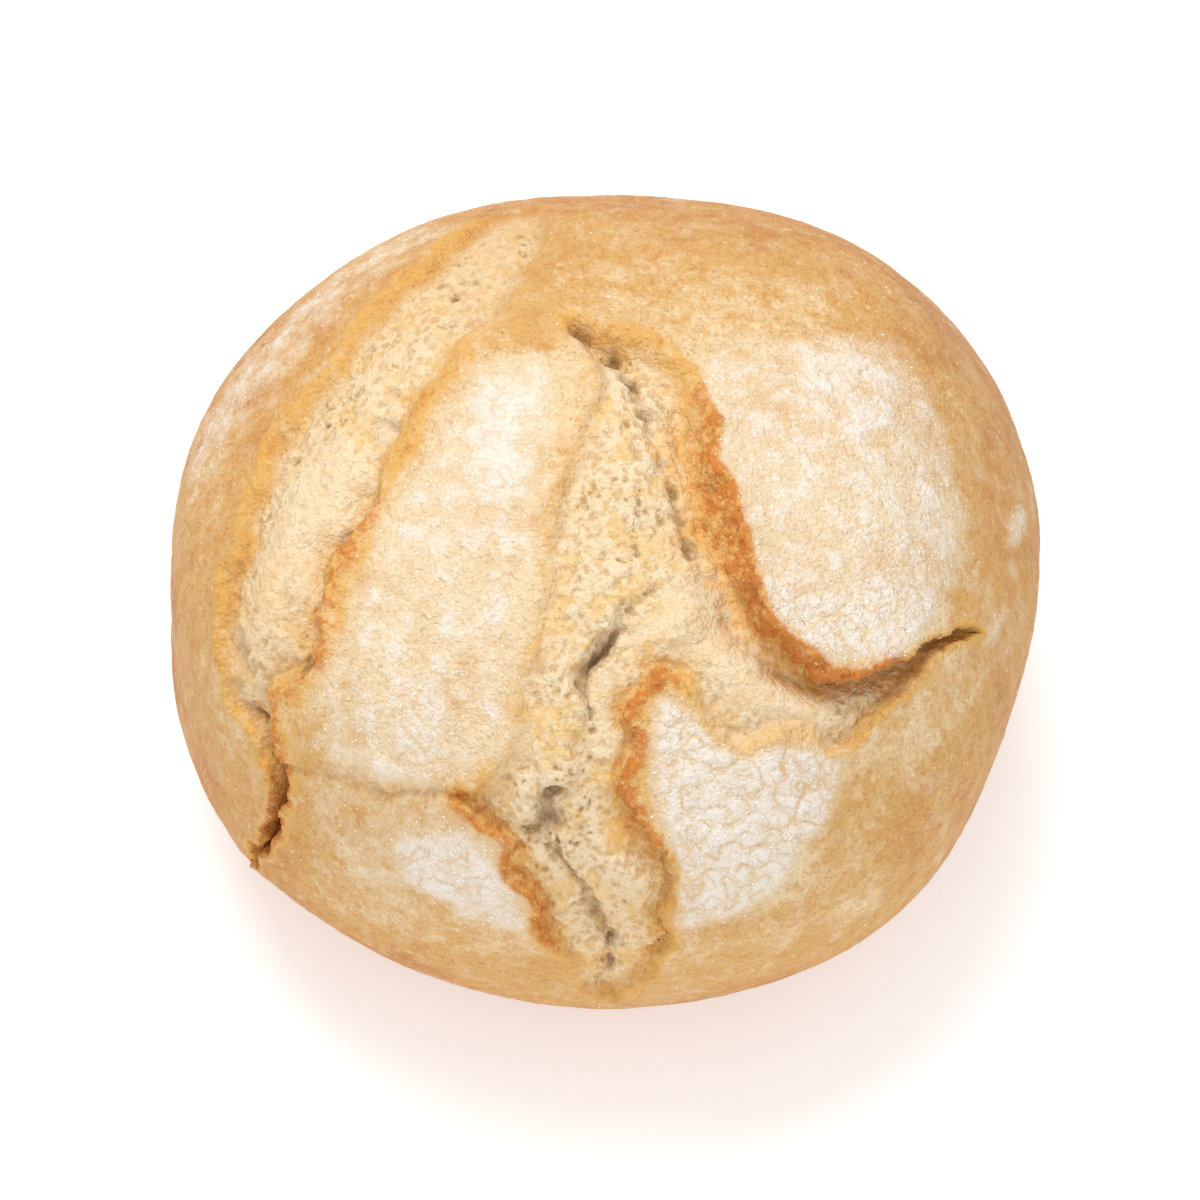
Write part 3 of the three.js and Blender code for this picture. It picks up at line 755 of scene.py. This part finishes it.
class Bench:
    """Builds the nodes of one tree."""

    def __init__(self, tree: bpy.types.NodeTree) -> None:
        """Starts on an empty tree."""
        self.tree = tree
        tree.nodes.clear()

    def node(self, kind: str, settings: dict | None = None, values: dict | None = None) -> bpy.types.Node:
        """Adds a node.

        Args:
            kind: the node's type name.
            settings: its own properties, set first.
            values: what each input gets, by name or number: a value or a Wire.

        Returns:
            The new node.
        """
        made = self.tree.nodes.new(kind)
        for name, value in (settings or {}).items():
            setattr(made, name, value)
        for name, value in (values or {}).items():
            if isinstance(value, Wire):
                self.tree.links.new(value.socket, made.inputs[name])
            else:
                made.inputs[name].default_value = value
        return made

    def wire(self, kind: str, settings: dict | None = None, values: dict | None = None,
             output: int | str = 0) -> Wire:
        """Adds a node and returns one of its outputs."""
        return Wire(self, self.node(kind, settings, values).outputs[output])

    def maths(self, operation: str, first: Number, second: Number = 0.0) -> Wire:
        """One Math node."""
        return self.wire("ShaderNodeMath", {"operation": operation}, {0: first, 1: second})

    def vector(self, operation: str, first: Wire | tuple, second: Wire | tuple) -> Wire:
        """One Vector Math node on two vectors."""
        return self.wire("ShaderNodeVectorMath", {"operation": operation}, {0: first, 1: second})

    def scaled(self, vector: Wire, factor: Number) -> Wire:
        """A vector or a colour times a number."""
        return self.wire("ShaderNodeVectorMath", {"operation": "SCALE"}, {0: vector, "Scale": factor})

    def mix(self, factor: Number, first: Wire | tuple, second: Wire | tuple) -> Wire:
        """Mixes two colours."""
        return self.wire("ShaderNodeMix", {"data_type": "RGBA"}, {0: factor, 6: first, 7: second}, output=2)

    def ease(self, value: Number, low: float, high: float) -> Wire:
        """Eases a value from 0 at low to 1 at high."""
        settings = {"interpolation_type": "SMOOTHSTEP"}
        return self.wire("ShaderNodeMapRange", settings, {"Value": value, "From Min": low, "From Max": high})

    def noise(self, place: Wire, size: float, detail: float = 2.0, rough: float = 0.5) -> Wire:
        """Noise from 0 to 1 with lumps of about this many millimetres."""
        values = {"Vector": place, "Scale": 1 / size, "Detail": detail, "Roughness": rough}
        return self.wire("ShaderNodeTexNoise", {}, values)

    def cells(self, place: Wire, size: float) -> tuple[Wire, Wire]:
        """Cells of about this many millimetres: how far their middle is, and a draw for each."""
        made = self.node("ShaderNodeTexVoronoi", {"feature": "F1"}, {"Vector": place, "Scale": 1 / size})
        luck = self.wire("ShaderNodeSeparateXYZ", {}, {0: Wire(self, made.outputs["Color"])})
        return Wire(self, made.outputs["Distance"]), luck

    def surface(self, values: dict) -> None:
        """Ends a material's tree with a Principled shader that gets these values."""
        shader = self.wire("ShaderNodeBsdfPrincipled", {}, values)
        self.node("ShaderNodeOutputMaterial", {}, {"Surface": shader})

    def grown(self, geometry: Wire, material: bpy.types.Material) -> None:
        """Ends a Geometry Nodes tree with this geometry, made real and given its material."""
        real = self.wire("GeometryNodeRealizeInstances", {}, {"Geometry": geometry})
        dressed = self.wire("GeometryNodeSetMaterial", {}, {"Geometry": real, "Material": material})
        self.node("NodeGroupOutput", {}, {"Geometry": dressed})


def new_material(name: str) -> tuple[bpy.types.Material, Bench]:
    """Makes a material, and the bench that its tree is built on."""
    made = bpy.data.materials.new(name)
    made.use_nodes = True
    return made, Bench(made.node_tree)


def new_growth(name: str, sizes: Iterable[str]) -> tuple[Bench, dict[str, Wire]]:
    """Makes a Geometry Nodes tree with a geometry and named sizes as its inputs.

    Args:
        name: what the tree is called.
        sizes: the names of its number inputs.

    Returns:
        The bench that it is built on, and each input by its name.
    """
    tree = bpy.data.node_groups.new(name, "GeometryNodeTree")
    for way in ("INPUT", "OUTPUT"):
        tree.interface.new_socket("Geometry", in_out=way, socket_type="NodeSocketGeometry")
    for size in sizes:
        tree.interface.new_socket(size, in_out="INPUT", socket_type="NodeSocketFloat")
    bench = Bench(tree)
    sockets = bench.node("NodeGroupInput").outputs
    return bench, {socket.name: Wire(bench, socket) for socket in sockets if socket.name}


def new_object(name: str, data: bpy.types.ID) -> bpy.types.Object:
    """Adds an object to the scene."""
    made = bpy.data.objects.new(name, data)
    bpy.context.scene.collection.objects.link(made)
    return made


def srgb(red: int, green: int, blue: int) -> tuple[float, float, float, float]:
    """Turns a colour as seen on a screen into linear light."""
    shares = (value / 255 for value in (red, green, blue))
    return (*(v / 12.92 if v <= 0.04045 else ((v + 0.055) / 1.055) ** 2.4 for v in shares), 1.0)


class CrustPattern:
    """The small pattern of pores, foam, blisters and flour, drawn alike by relief and colours; its blisters
    only light up the colours, as painted highlights.
    """

    CELL_SIZES = (2.2, 1.2, 0.7)
    NOISE_MIDDLE = (0.5, 0.5, 0.5)

    def __init__(self, bench: Bench, place: Wire) -> None:
        """Adds the nodes that the patterns share.

        Args:
            bench: the tree's bench.
            place: the place on the crust, in millimetres.
        """
        self.bench = bench
        self.place = place
        values = {"Vector": place, "Scale": 0.9, "Detail": 2.0, "Roughness": 0.6}
        bend = bench.wire("ShaderNodeTexNoise", {}, values, output="Color")
        self.bent = bench.vector("ADD", place, bench.vector("SUBTRACT", bend, self.NOISE_MIDDLE))
        self.cells = [bench.cells(self.bent, size) for size in self.CELL_SIZES]

    def pores(self) -> Wire:
        """Holes of many sizes in the bared crumb, in loose crowds, 1 in their middle."""
        bench = self.bench
        crowd = bench.ease(bench.noise(self.place, 6.0, 1.0), 0.40, 0.62) - 0.6
        holes: Number = 0.0
        for (distance, luck), most, common in zip(self.cells, (0.26, 0.36, 0.38), (0.46, 0.50, 0.34)):
            radius = bench.ease(luck + crowd * 0.75, 1 - common, 1.2) * (most + 0.1) - 0.1
            holes = bench.maths("MAXIMUM", bench.ease(radius - distance, -0.1, 0.16), holes)
        return holes

    def foam(self) -> Wire:
        """The sponge of the torn crumb: small hollows, and 1 on the thin walls between them."""
        bench = self.bench
        (large, _), (small, _) = self.cells[1:]
        loose = (bench.noise(self.place, 0.5, 1.0) - 0.5) * 0.4
        return bench.ease(large * 0.6 + small * 0.4 + loose, 0.2, 0.8)

    def blisters(self) -> Wire:
        """Tiny round blisters of the baked crust, 1 on their tops; the colours light these up as painted
        highlights.
        """
        bench = self.bench
        total: Number = 0.0
        for (distance, luck), common in zip(self.cells[1:], (0.45, 0.5)):
            top = 1 - bench.ease(distance, 0.0, 0.55)
            total = bench.maths("MAXIMUM", top * bench.ease(luck, 1 - common, 1.1), total)
        return total

    def flour(self, density: Wire, caked: Wire) -> tuple[Wire, Wire]:
        """Flour that lies as powder, cracked in plates and caked into lumps.

        Args:
            density: how much flour lies there, from 0 to 1.
            caked: how much of it caked into lumps, from 0 to 1.

        Returns:
            How much of the crust it covers, and how thick it lies there, both from 0 to 1.
        """
        bench = self.bench
        patchy = bench.noise(self.place, 2.8, 3.0, 0.6) - 0.5
        fine = bench.noise(self.place, 0.45, 2.0, 0.65) - 0.5
        wide, narrow = (bench.maths("ABSOLUTE", bench.noise(self.bent, size, 1.0) - 0.5)
                        for size in (3.0, 1.7))
        crack = (1 - bench.ease(wide + fine * 0.03, 0.0, 0.03)) * bench.ease(caked, 0.2, 0.6)
        seam = bench.maths("MINIMUM", wide, narrow + 0.012) + fine * 0.06
        lumpy = bench.ease(caked, 0.5, 1.0)
        dome = bench.ease(seam, 0.0, 0.1)
        gap = (1 - bench.ease(seam, -0.01, 0.045)) * lumpy
        level = density - patchy * (1.3 - lumpy * 0.5) - fine * 0.4
        solid = (1 - crack * 0.6) * (1 - gap * 0.7)
        thick = bench.ease(level, 0.42, 0.85) * solid * (1 - lumpy * 0.5 + dome * lumpy * 0.5)
        veil = bench.ease(level, 0.0, 0.7) * 0.8 * (1 - gap * 0.42)
        return bench.maths("MAXIMUM", veil, thick), thick


class CrustRelief:
    """Geometry Nodes that give the crust its blisters, pores, torn walls and caked flour."""

    SIZES = {"Blister height": 0.14, "Swelling height": 0.2, "Pore depth": 0.26, "Torn height": 0.8,
             "Crumb height": 0.7, "Flour height": 0.24}

    def tree(self, material: bpy.types.Material) -> bpy.types.NodeTree:
        """Builds the tree.

        Args:
            material: what the finished crust wears.

        Returns:
            A tree whose inputs are the geometry and the named sizes in millimetres.
        """
        bench, asked = new_growth("Crust relief", self.SIZES)
        mark = {name: self.attribute(bench, name) for name in Skin.MARKS}
        place = bench.scaled(bench.wire("GeometryNodeInputPosition"), 1 / MM)
        kept = bench.wire(
            "GeometryNodeStoreNamedAttribute", {"data_type": "FLOAT_VECTOR", "domain": "POINT"},
            {"Geometry": asked["Geometry"], "Name": "crust_place", "Value": place})
        height = self.height(bench, place, asked, mark)
        normal = bench.wire("GeometryNodeInputNormal")
        moved = bench.wire("GeometryNodeSetPosition", {},
                           {"Geometry": kept, "Offset": bench.scaled(normal, height * MM)})
        bench.grown(moved, material)
        return bench.tree

    @staticmethod
    def attribute(bench: Bench, name: str) -> Wire:
        """Reads one of the crust's marks."""
        return bench.wire("GeometryNodeInputNamedAttribute", {"data_type": "FLOAT"}, {"Name": name})

    @staticmethod
    def height(bench: Bench, place: Wire, size: dict[str, Wire], mark: dict[str, Wire]) -> Wire:
        """How far each corner moves out, in millimetres."""
        crumb, wall, caked = mark["crumb"], mark["wall"], mark["caked"]
        pattern = CrustPattern(bench, place)
        smooth = 1 - bench.maths("MAXIMUM", crumb, wall)
        blister = (bench.noise(place, 1.1, 3.0, 0.6) - 0.5) * 2 * size["Blister height"]
        swelling = (bench.noise(place, 6.5, 2.0) - 0.5) * 2 * size["Swelling height"]
        torn = (bench.noise(place, 1.5, 4.0, 0.65) - 0.5) * 2 * size["Torn height"] * wall
        ragged = (1 - mark["hollow"]) * (1 - mark["fold"] * 0.75)
        lumpy = (bench.noise(place, 2.3, 2.0, 0.5) - 0.5) * 1.6
        lumpy = lumpy + (bench.noise(place, 0.9, 3.0, 0.6) - 0.5) * 0.8
        lumpy = lumpy + (pattern.foam() - 0.5) * 0.35
        lumpy = lumpy * size["Crumb height"] * bench.maths("MAXIMUM", crumb, wall * 0.7) * ragged
        bare = bench.maths("MAXIMUM", crumb, wall * 0.6) * ragged
        pore = pattern.pores() * size["Pore depth"] * bare
        _, flour = pattern.flour(mark["flour"], caked)
        grounded = bench.ease(bench.wire("ShaderNodeSeparateXYZ", {}, {0: place}, output=2), 0.0, 3.0)
        return ((blister + swelling) * smooth * grounded + torn + lumpy - pore
                + flour * size["Flour height"])


@dataclass(frozen=True)
class CrustFinish:
    """Colours of the baked crust, the bared crumb and the flour on them, with painted shade in their grooves,
    pits and bubbles.
    """

    pale: tuple = srgb(233, 206, 162)
    tan: tuple = srgb(215, 167, 98)
    toasted: tuple = srgb(190, 124, 52)
    freckle: tuple = srgb(208, 138, 68)
    # Pale specks of the crust, partly painted highlights on blister tops.
    pale_speck_and_highlight: tuple = srgb(244, 218, 172)
    speck_dark: tuple = srgb(180, 118, 54)
    crumb_pale: tuple = srgb(236, 214, 178)
    # Crumb in its hollows, darkened as painted shade.
    crumb_deep_and_shade: tuple = srgb(206, 168, 114)
    crumb_yellow: tuple = srgb(234, 192, 120)
    crumb_baked_and_shade: tuple = srgb(222, 180, 122)
    gold: tuple = srgb(224, 172, 90)
    orange: tuple = srgb(208, 130, 58)
    dark_brown: tuple = srgb(160, 88, 34)
    hollow: tuple = srgb(226, 204, 176)
    # Pore is painted shade inside the crumb's pores.
    pore: tuple = srgb(178, 146, 90)
    shadow: tuple = srgb(122, 78, 32)
    flour_thin: tuple = srgb(235, 216, 186)
    flour_thick: tuple = srgb(240, 230, 217)

    def material(self) -> bpy.types.Material:
        """Builds the crust's material."""
        made, bench = new_material("baked crust")
        mark = {name: bench.wire("ShaderNodeAttribute", {"attribute_name": name}, output="Fac")
                for name in Skin.MARKS}
        place = bench.wire("ShaderNodeAttribute", {"attribute_name": "crust_place"}, output="Vector")
        bare = bench.maths("MAXIMUM", mark["crumb"], mark["wall"] * 0.6)
        ragged = bare * (1 - mark["hollow"]) * (1 - mark["fold"] * 0.75)
        pattern = CrustPattern(bench, place)
        pores = pattern.pores() * ragged
        blisters = pattern.blisters()
        foam = pattern.foam()
        cover, thick = pattern.flour(mark["flour"], mark["caked"])
        grain = bench.noise(place, 0.42, 2.0, 0.65)
        pebble = bench.noise(place, 1.0, 2.0, 0.62)
        colour = self.crust_colour(bench, place, mark, grain, blisters)
        colour = bench.mix(mark["crumb"], colour, self.crumb_colour(bench, place, mark, grain, foam, ragged))
        colour = self.browned(bench, place, colour, mark)
        colour = bench.mix(mark["hollow"] * 0.55, colour, self.hollow)
        # Painted shade inside the pores of the bared crumb.
        colour = bench.mix(pores * 0.75 * (1 - mark["brown"]), colour, self.pore)
        # Painted shade in the grooves and bubbles marked as cavity shade, mottled a little by the pebble
        # noise.
        shade = bench.ease(mark["cavity_shade"] + (pebble - 0.5) * 0.9, 0.25, 1.1)
        colour = bench.mix(shade * 0.8, colour, self.shadow)
        # Painted shade between caked flour lumps: the crust under them is darkened.
        colour = bench.mix(mark["flour"] * mark["caked"] * 0.2, colour, self.speck_dark)
        caked = bench.ease(thick + (grain - 0.5) * 0.6, 0.1, 0.7)
        flour = bench.mix(caked, self.flour_thin, self.flour_thick)
        colour = bench.mix(cover * 0.94, colour, flour)
        rough = 0.58 + bench.maths("MAXIMUM", bare, cover) * 0.34 + (grain - 0.5) * 0.12
        bump = bench.wire("ShaderNodeBump", {}, {
            "Strength": 1.0, "Distance": MM, "Height": grain * 0.32 + pebble * 0.45})
        bench.surface({"Base Color": colour, "Roughness": rough, "Normal": bump, "IOR": 1.45,
                       "Specular IOR Level": 0.32})
        return made

    def crust_colour(self, bench: Bench, place: Wire, mark: dict[str, Wire], grain: Wire,
                     blisters: Wire) -> Wire:
        """Pale to toasted crust, with dark freckles and light blisters, whose light specks are partly pale
        crust and partly painted highlights on their tops.
        """
        mottle = bench.noise(place, 7.0, 3.0, 0.6)
        # Darker towards the sides and low down, partly toasting and partly painted shade.
        baked = mark["bake_and_shade"] + (mottle - 0.5) * 1.3 + (bench.noise(place, 1.8, 3.0, 0.65) - 0.5) * 1.0
        colour = bench.mix(bench.ease(baked, -0.1, 0.5), self.pale, self.tan)
        colour = bench.mix(bench.ease(baked, 0.5, 1.25), colour, self.toasted)
        freckles = bench.ease(bench.noise(place, 1.2, 3.0, 0.68) + mark["bake_and_shade"] * 0.16, 0.58, 0.7)
        colour = bench.mix(freckles * 0.5, colour, self.freckle)
        # Light specks: partly pale crust grain, partly painted highlights on the blister tops.
        light = bench.ease(blisters + (grain - 0.5) * 1.2, 0.25, 0.8)
        dark = bench.ease(0.5 - blisters * 0.3 + (grain - 0.5) * 1.5, 0.5, 0.85)
        colour = bench.mix(light * 0.5, colour, self.pale_speck_and_highlight)
        return bench.mix(dark * 0.5, colour, self.speck_dark)

    def crumb_colour(self, bench: Bench, place: Wire, mark: dict[str, Wire], grain: Wire, foam: Wire,
                     ragged: Wire) -> Wire:
        """Pale crumb with yellow patches; its hollows are darkened as painted shade, and it deepens towards
        the rim and low down, partly as painted shade.
        """
        clouds = bench.noise(place, 2.4, 3.0, 0.65)
        # Painted shade: the foam's hollows and the grain's lows are darkened.
        low = bench.ease(0.95 - foam - (grain - 0.5) * 0.8 - (clouds - 0.5) * 1.2, 0.25, 0.95)
        colour = bench.mix(low * (0.25 + ragged * 0.5), self.crumb_pale, self.crumb_deep_and_shade)
        patch = bench.ease(bench.noise(place, 3.6, 3.0, 0.66), 0.48, 0.62)
        colour = bench.mix(patch * (0.6 - mark["fold"] * 0.35), colour, self.crumb_yellow)
        # Deeper crumb towards the rim and low down, partly painted shade.
        baked = bench.ease(mark["bake_and_shade"] + (clouds - 0.5) * 0.9, 0.1, 0.8)
        return bench.mix(baked * 0.6, colour, self.crumb_baked_and_shade)

    def browned(self, bench: Bench, place: Wire, colour: Wire, mark: dict[str, Wire]) -> Wire:
        """Browns the torn walls and lips, from gold to dark brown."""
        rough = (bench.noise(place, 1.3, 3.0, 0.72) - 0.5) * 3.0 + (bench.noise(place, 4.0, 1.0) - 0.5) * 0.8
        baked = mark["brown"] * (1 + rough)
        colour = bench.mix(bench.ease(baked, 0.08, 0.42) * 0.8, colour, self.gold)
        colour = bench.mix(bench.ease(baked, 0.42, 0.85), colour, self.orange)
        return bench.mix(bench.ease(baked, 1.0, 1.6), colour, self.dark_brown)


def plain_mesh(piece: bpy.types.Object) -> None:
    """Turns a piece's live modifiers into its mesh."""
    graph = bpy.context.evaluated_depsgraph_get()
    baked = bpy.data.meshes.new_from_object(piece.evaluated_get(graph), preserve_all_data_layers=True,
                                            depsgraph=graph)
    piece.modifiers.clear()
    piece.data = baked


def grow_nodes(piece: bpy.types.Object, tree: bpy.types.NodeTree, sizes: dict[str, float]) -> None:
    """Puts a Geometry Nodes tree on a piece, with its named inputs set."""
    modifier = piece.modifiers.new(tree.name, "NODES")
    modifier.node_group = tree
    for item in tree.interface.items_tree:
        if item.in_out == "INPUT" and item.name in sizes:
            modifier[item.identifier] = sizes[item.name]


@dataclass
class Crust:
    """The skin of the roll with its splits, as one closed mesh."""

    dough: Dough
    face: Face
    coarse: float = 1.0

    def build(self) -> bpy.types.Object:
        """Makes the mesh of the torn skin and marks what each part of it is."""
        mesh = DirectionMesh()
        longest = EdgeLengths(self.face, self.coarse)
        while mesh.halve(self.dough, longest):
            pass
        mesh.relax(3)
        skin = Skin(self.dough, self.face, mesh.directions)
        self.shape(skin)
        points = skin.points(self.dough, self.face) * MM
        made = bpy.data.meshes.new("roll_crust")
        made.from_pydata(points.tolist(), [], mesh.triangles.tolist())
        for name, values in skin.marks.items():
            layer = made.attributes.new(name, "FLOAT", "POINT")
            layer.data.foreach_set("value", values.astype(np.float32))
        made.shade_smooth()
        return new_object("roll_crust", made)

    def shape(self, skin: Skin) -> None:
        """Works out the relief and the marks of every corner."""
        skin.height += 0.45 * waves(skin.ball, 34, 3)
        for split in (LEFT_SPLIT, RIGHT_SPLIT):
            split.tear(skin)
        for tear in TEARS:
            tear.cut(skin)
        for swell in SWELLS:
            swell.raise_up(skin)
        for bubble in BUBBLES:
            bubble.open(skin)
        for fold in FOLDS:
            fold.smooth(skin)
        for patch in FLOUR:
            patch.dust(skin)
        skin.mark("flour", 0.06 + 0.05 * waves(skin.ball, 22, 6))
        skin.marks["flour"] *= (1 - skin.marks["wall"]) * (1 - skin.marks["crumb"])
        skin.mark("bake_and_shade", self.baking_and_shade(skin))

    @staticmethod
    def baking_and_shade(skin: Skin) -> Array:
        """How dark the crust is, partly from toasting and partly as painted shade: more towards the sides, and
        most on the underside.
        """
        right, up = skin.smooth_places.T
        rim = smooth_step((np.hypot(right, up * 0.95) - 26) / 40)
        low = smooth_step((22 - skin.ball[:, 2]) / 24)
        return np.clip(0.12 + 0.75 * rim + 0.5 * low + 0.1 * waves(skin.ball, 26, 5), 0, 1.1)

    def dress(self, piece: bpy.types.Object) -> None:
        """Adds the fine relief and the material."""
        relief = CrustRelief()
        grow_nodes(piece, relief.tree(CrustFinish().material()), relief.SIZES)
        plain_mesh(piece)


@dataclass(frozen=True)
class FlourFinish:
    """Loose flour and the crumbs that lie in it."""

    name: str
    light: tuple
    dark: tuple

    def material(self) -> bpy.types.Material:
        """Builds a matte, softly varied material."""
        made, bench = new_material(self.name)
        place = bench.scaled(bench.wire("ShaderNodeTexCoord", {}, {}, output="Object"), 1 / MM)
        shade = bench.noise(place, 1.2, 3.0, 0.6)
        colour = bench.mix(bench.ease(shade, 0.35, 0.7), self.light, self.dark)
        bump = bench.wire("ShaderNodeBump", {}, {"Strength": 0.6, "Distance": 0.1 * MM,
                                                 "Height": bench.noise(place, 0.12, 2.0)})
        bench.surface({"Base Color": colour, "Roughness": 0.9 + shade * 0.08, "Normal": bump,
                       "Specular IOR Level": 0.2})
        return made


@dataclass
class Sprinkle:
    """Small bits scattered over the crust where one of its marks is high."""

    name: str
    finish: FlourFinish
    mark: str
    per_square_mm: float
    smallest: float
    largest: float
    flatness: float
    seed: int

    def tree(self) -> bpy.types.NodeTree:
        """Builds the tree that scatters the bits."""
        bench, asked = new_growth(self.name, ("Per square mm", "Smallest", "Largest", "Flatness"))
        amount = CrustRelief.attribute(bench, self.mark)
        density = amount * amount * asked["Per square mm"] * 1e6
        scatter = bench.node("GeometryNodeDistributePointsOnFaces", {"distribute_method": "RANDOM"},
                             {"Mesh": asked["Geometry"], "Density": density, "Seed": self.seed})
        bit = bench.wire("GeometryNodeMeshIcoSphere", {}, {"Radius": MM, "Subdivisions": 1})
        size = self.random(bench, asked["Smallest"], asked["Largest"], self.seed + 1)
        size = size * self.random(bench, 0.6, 1.0, self.seed + 2)
        shape = bench.wire("ShaderNodeCombineXYZ", {}, {
            0: size * self.random(bench, 0.75, 1.3, self.seed + 3), 1: size, 2: size * asked["Flatness"]})
        turn = self.random(bench, 0.0, 2 * math.pi, self.seed + 4)
        spin = bench.wire("FunctionNodeRotateRotation", {"rotation_space": "LOCAL"}, {
            0: Wire(bench, scatter.outputs["Rotation"]),
            1: bench.wire("ShaderNodeCombineXYZ", {}, {2: turn})})
        placed = bench.wire("GeometryNodeInstanceOnPoints", {}, {
            "Points": Wire(bench, scatter.outputs["Points"]), "Instance": bit,
            "Rotation": spin, "Scale": shape})
        bench.grown(placed, self.finish.material())
        return bench.tree

    @staticmethod
    def random(bench: Bench, low: Number, high: Number, seed: int) -> Wire:
        """A random value for each bit."""
        return bench.wire("FunctionNodeRandomValue", {"data_type": "FLOAT"},
                          {2: low, 3: high, "Seed": seed}, output=1)

    def build(self, crust: bpy.types.Object) -> bpy.types.Object:
        """Scatters the bits over the finished crust, as one joined mesh."""
        piece = new_object(self.name, crust.data.copy())
        grow_nodes(piece, self.tree(), {
            "Per square mm": self.per_square_mm, "Smallest": self.smallest,
            "Largest": self.largest, "Flatness": self.flatness})
        plain_mesh(piece)
        return piece


FLOUR_FINISH = FlourFinish("loose flour", srgb(254, 252, 248), srgb(240, 230, 214))
CRUMB_FINISH = FlourFinish("crust crumbs", srgb(228, 182, 118), srgb(198, 140, 76))
SPRINKLES = (
    Sprinkle("flour_grains", FLOUR_FINISH, "flour", 5.0, 0.05, 0.14, 0.7, seed=3),
    Sprinkle("crust_crumbs", CRUMB_FINISH, "wall", 0.35, 0.1, 0.28, 0.6, seed=29),
)


@dataclass
class Studio:
    """A pale table, soft light and the camera."""

    face: Face
    target: tuple = (-0.52, 0.6, 26.24)
    distance: float = 850.0
    roll_width: float = 92.7
    roll_share: float = 0.725
    sensor: float = 36.0
    sky: float = 0.6
    table_half: float = 1600.0

    def build(self) -> None:
        """Sets up the table, the lights and the camera."""
        self.table()
        self.light("key", (-80, 190, 560), 340, 2.2)
        self.light("front", (60, -520, 460), 500, 1.15)
        world = bpy.data.worlds.new("studio")
        bpy.context.scene.world = world
        world.use_nodes = True
        background = world.node_tree.nodes["Background"]
        background.inputs["Color"].default_value = WHITE
        background.inputs["Strength"].default_value = self.sky
        bpy.context.scene.view_settings.view_transform = "Standard"
        self.camera()

    def table(self) -> None:
        """Lays a large pale table top, which isn't part of the roll."""
        half = self.table_half * MM
        made = bpy.data.meshes.new("table")
        corners = [(-half, -half, 0), (half, -half, 0), (half, half, 0), (-half, half, 0)]
        made.from_pydata(corners, [], [(0, 1, 2, 3)])
        material, bench = new_material("pale table")
        place = bench.wire("ShaderNodeTexCoord", {}, {}, output="Object")
        shade = bench.noise(place, 0.4, 2.0)
        bench.surface({"Base Color": bench.mix(shade, srgb(244, 244, 245), srgb(240, 240, 242)),
                       "Roughness": 0.8, "Emission Color": (0.975, 0.99, 1.0, 1.0), "Emission Strength": 0.32})
        made.materials.append(material)
        new_object("table", made)

    @staticmethod
    def light(name: str, place: tuple, size: float, power: float) -> None:
        """Hangs a soft square light that looks at the roll.

        Args:
            name: what it is called.
            place: where it hangs, in millimetres.
            size: its width in millimetres.
            power: its power in watts.
        """
        made = bpy.data.lights.new(name, "AREA")
        made.energy, made.size = power, size * MM
        lamp = new_object(name, made)
        lamp.location = Vector(place) * MM
        lamp.rotation_euler = (Vector((0, 0, 0.03)) - lamp.location).to_track_quat("-Z", "Y").to_euler()

    def camera(self) -> None:
        """Places the camera square to the torn face, with the roll large in the picture."""
        made = bpy.data.cameras.new("camera")
        camera = new_object("camera", made)
        out = Vector(self.face.axes[0])
        camera.location = (Vector(self.target) + out * self.distance) * MM
        camera.rotation_euler = (-out).to_track_quat("-Z", "Y").to_euler()
        made.sensor_width = self.sensor
        made.lens = self.sensor * self.roll_share * self.distance / self.roll_width
        made.clip_start = 0.01
        bpy.context.scene.camera = camera


def main() -> None:
    """Builds the roll, what lies on it, and the studio."""
    logging.basicConfig(level=logging.INFO, format="%(message)s")
    face = Face()
    Studio(face).build()
    crust = Crust(Dough(), face, coarse=1.0)
    roll = crust.build()
    crust.dress(roll)
    pieces = [roll] + [sprinkle.build(roll) for sprinkle in SPRINKLES]
    for piece in pieces:
        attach(piece, "root")
        LOG.info("%s: %d triangles", piece.name, len(piece.data.polygons))
    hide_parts("bread_roll")


if __name__ == "__main__":
    main()
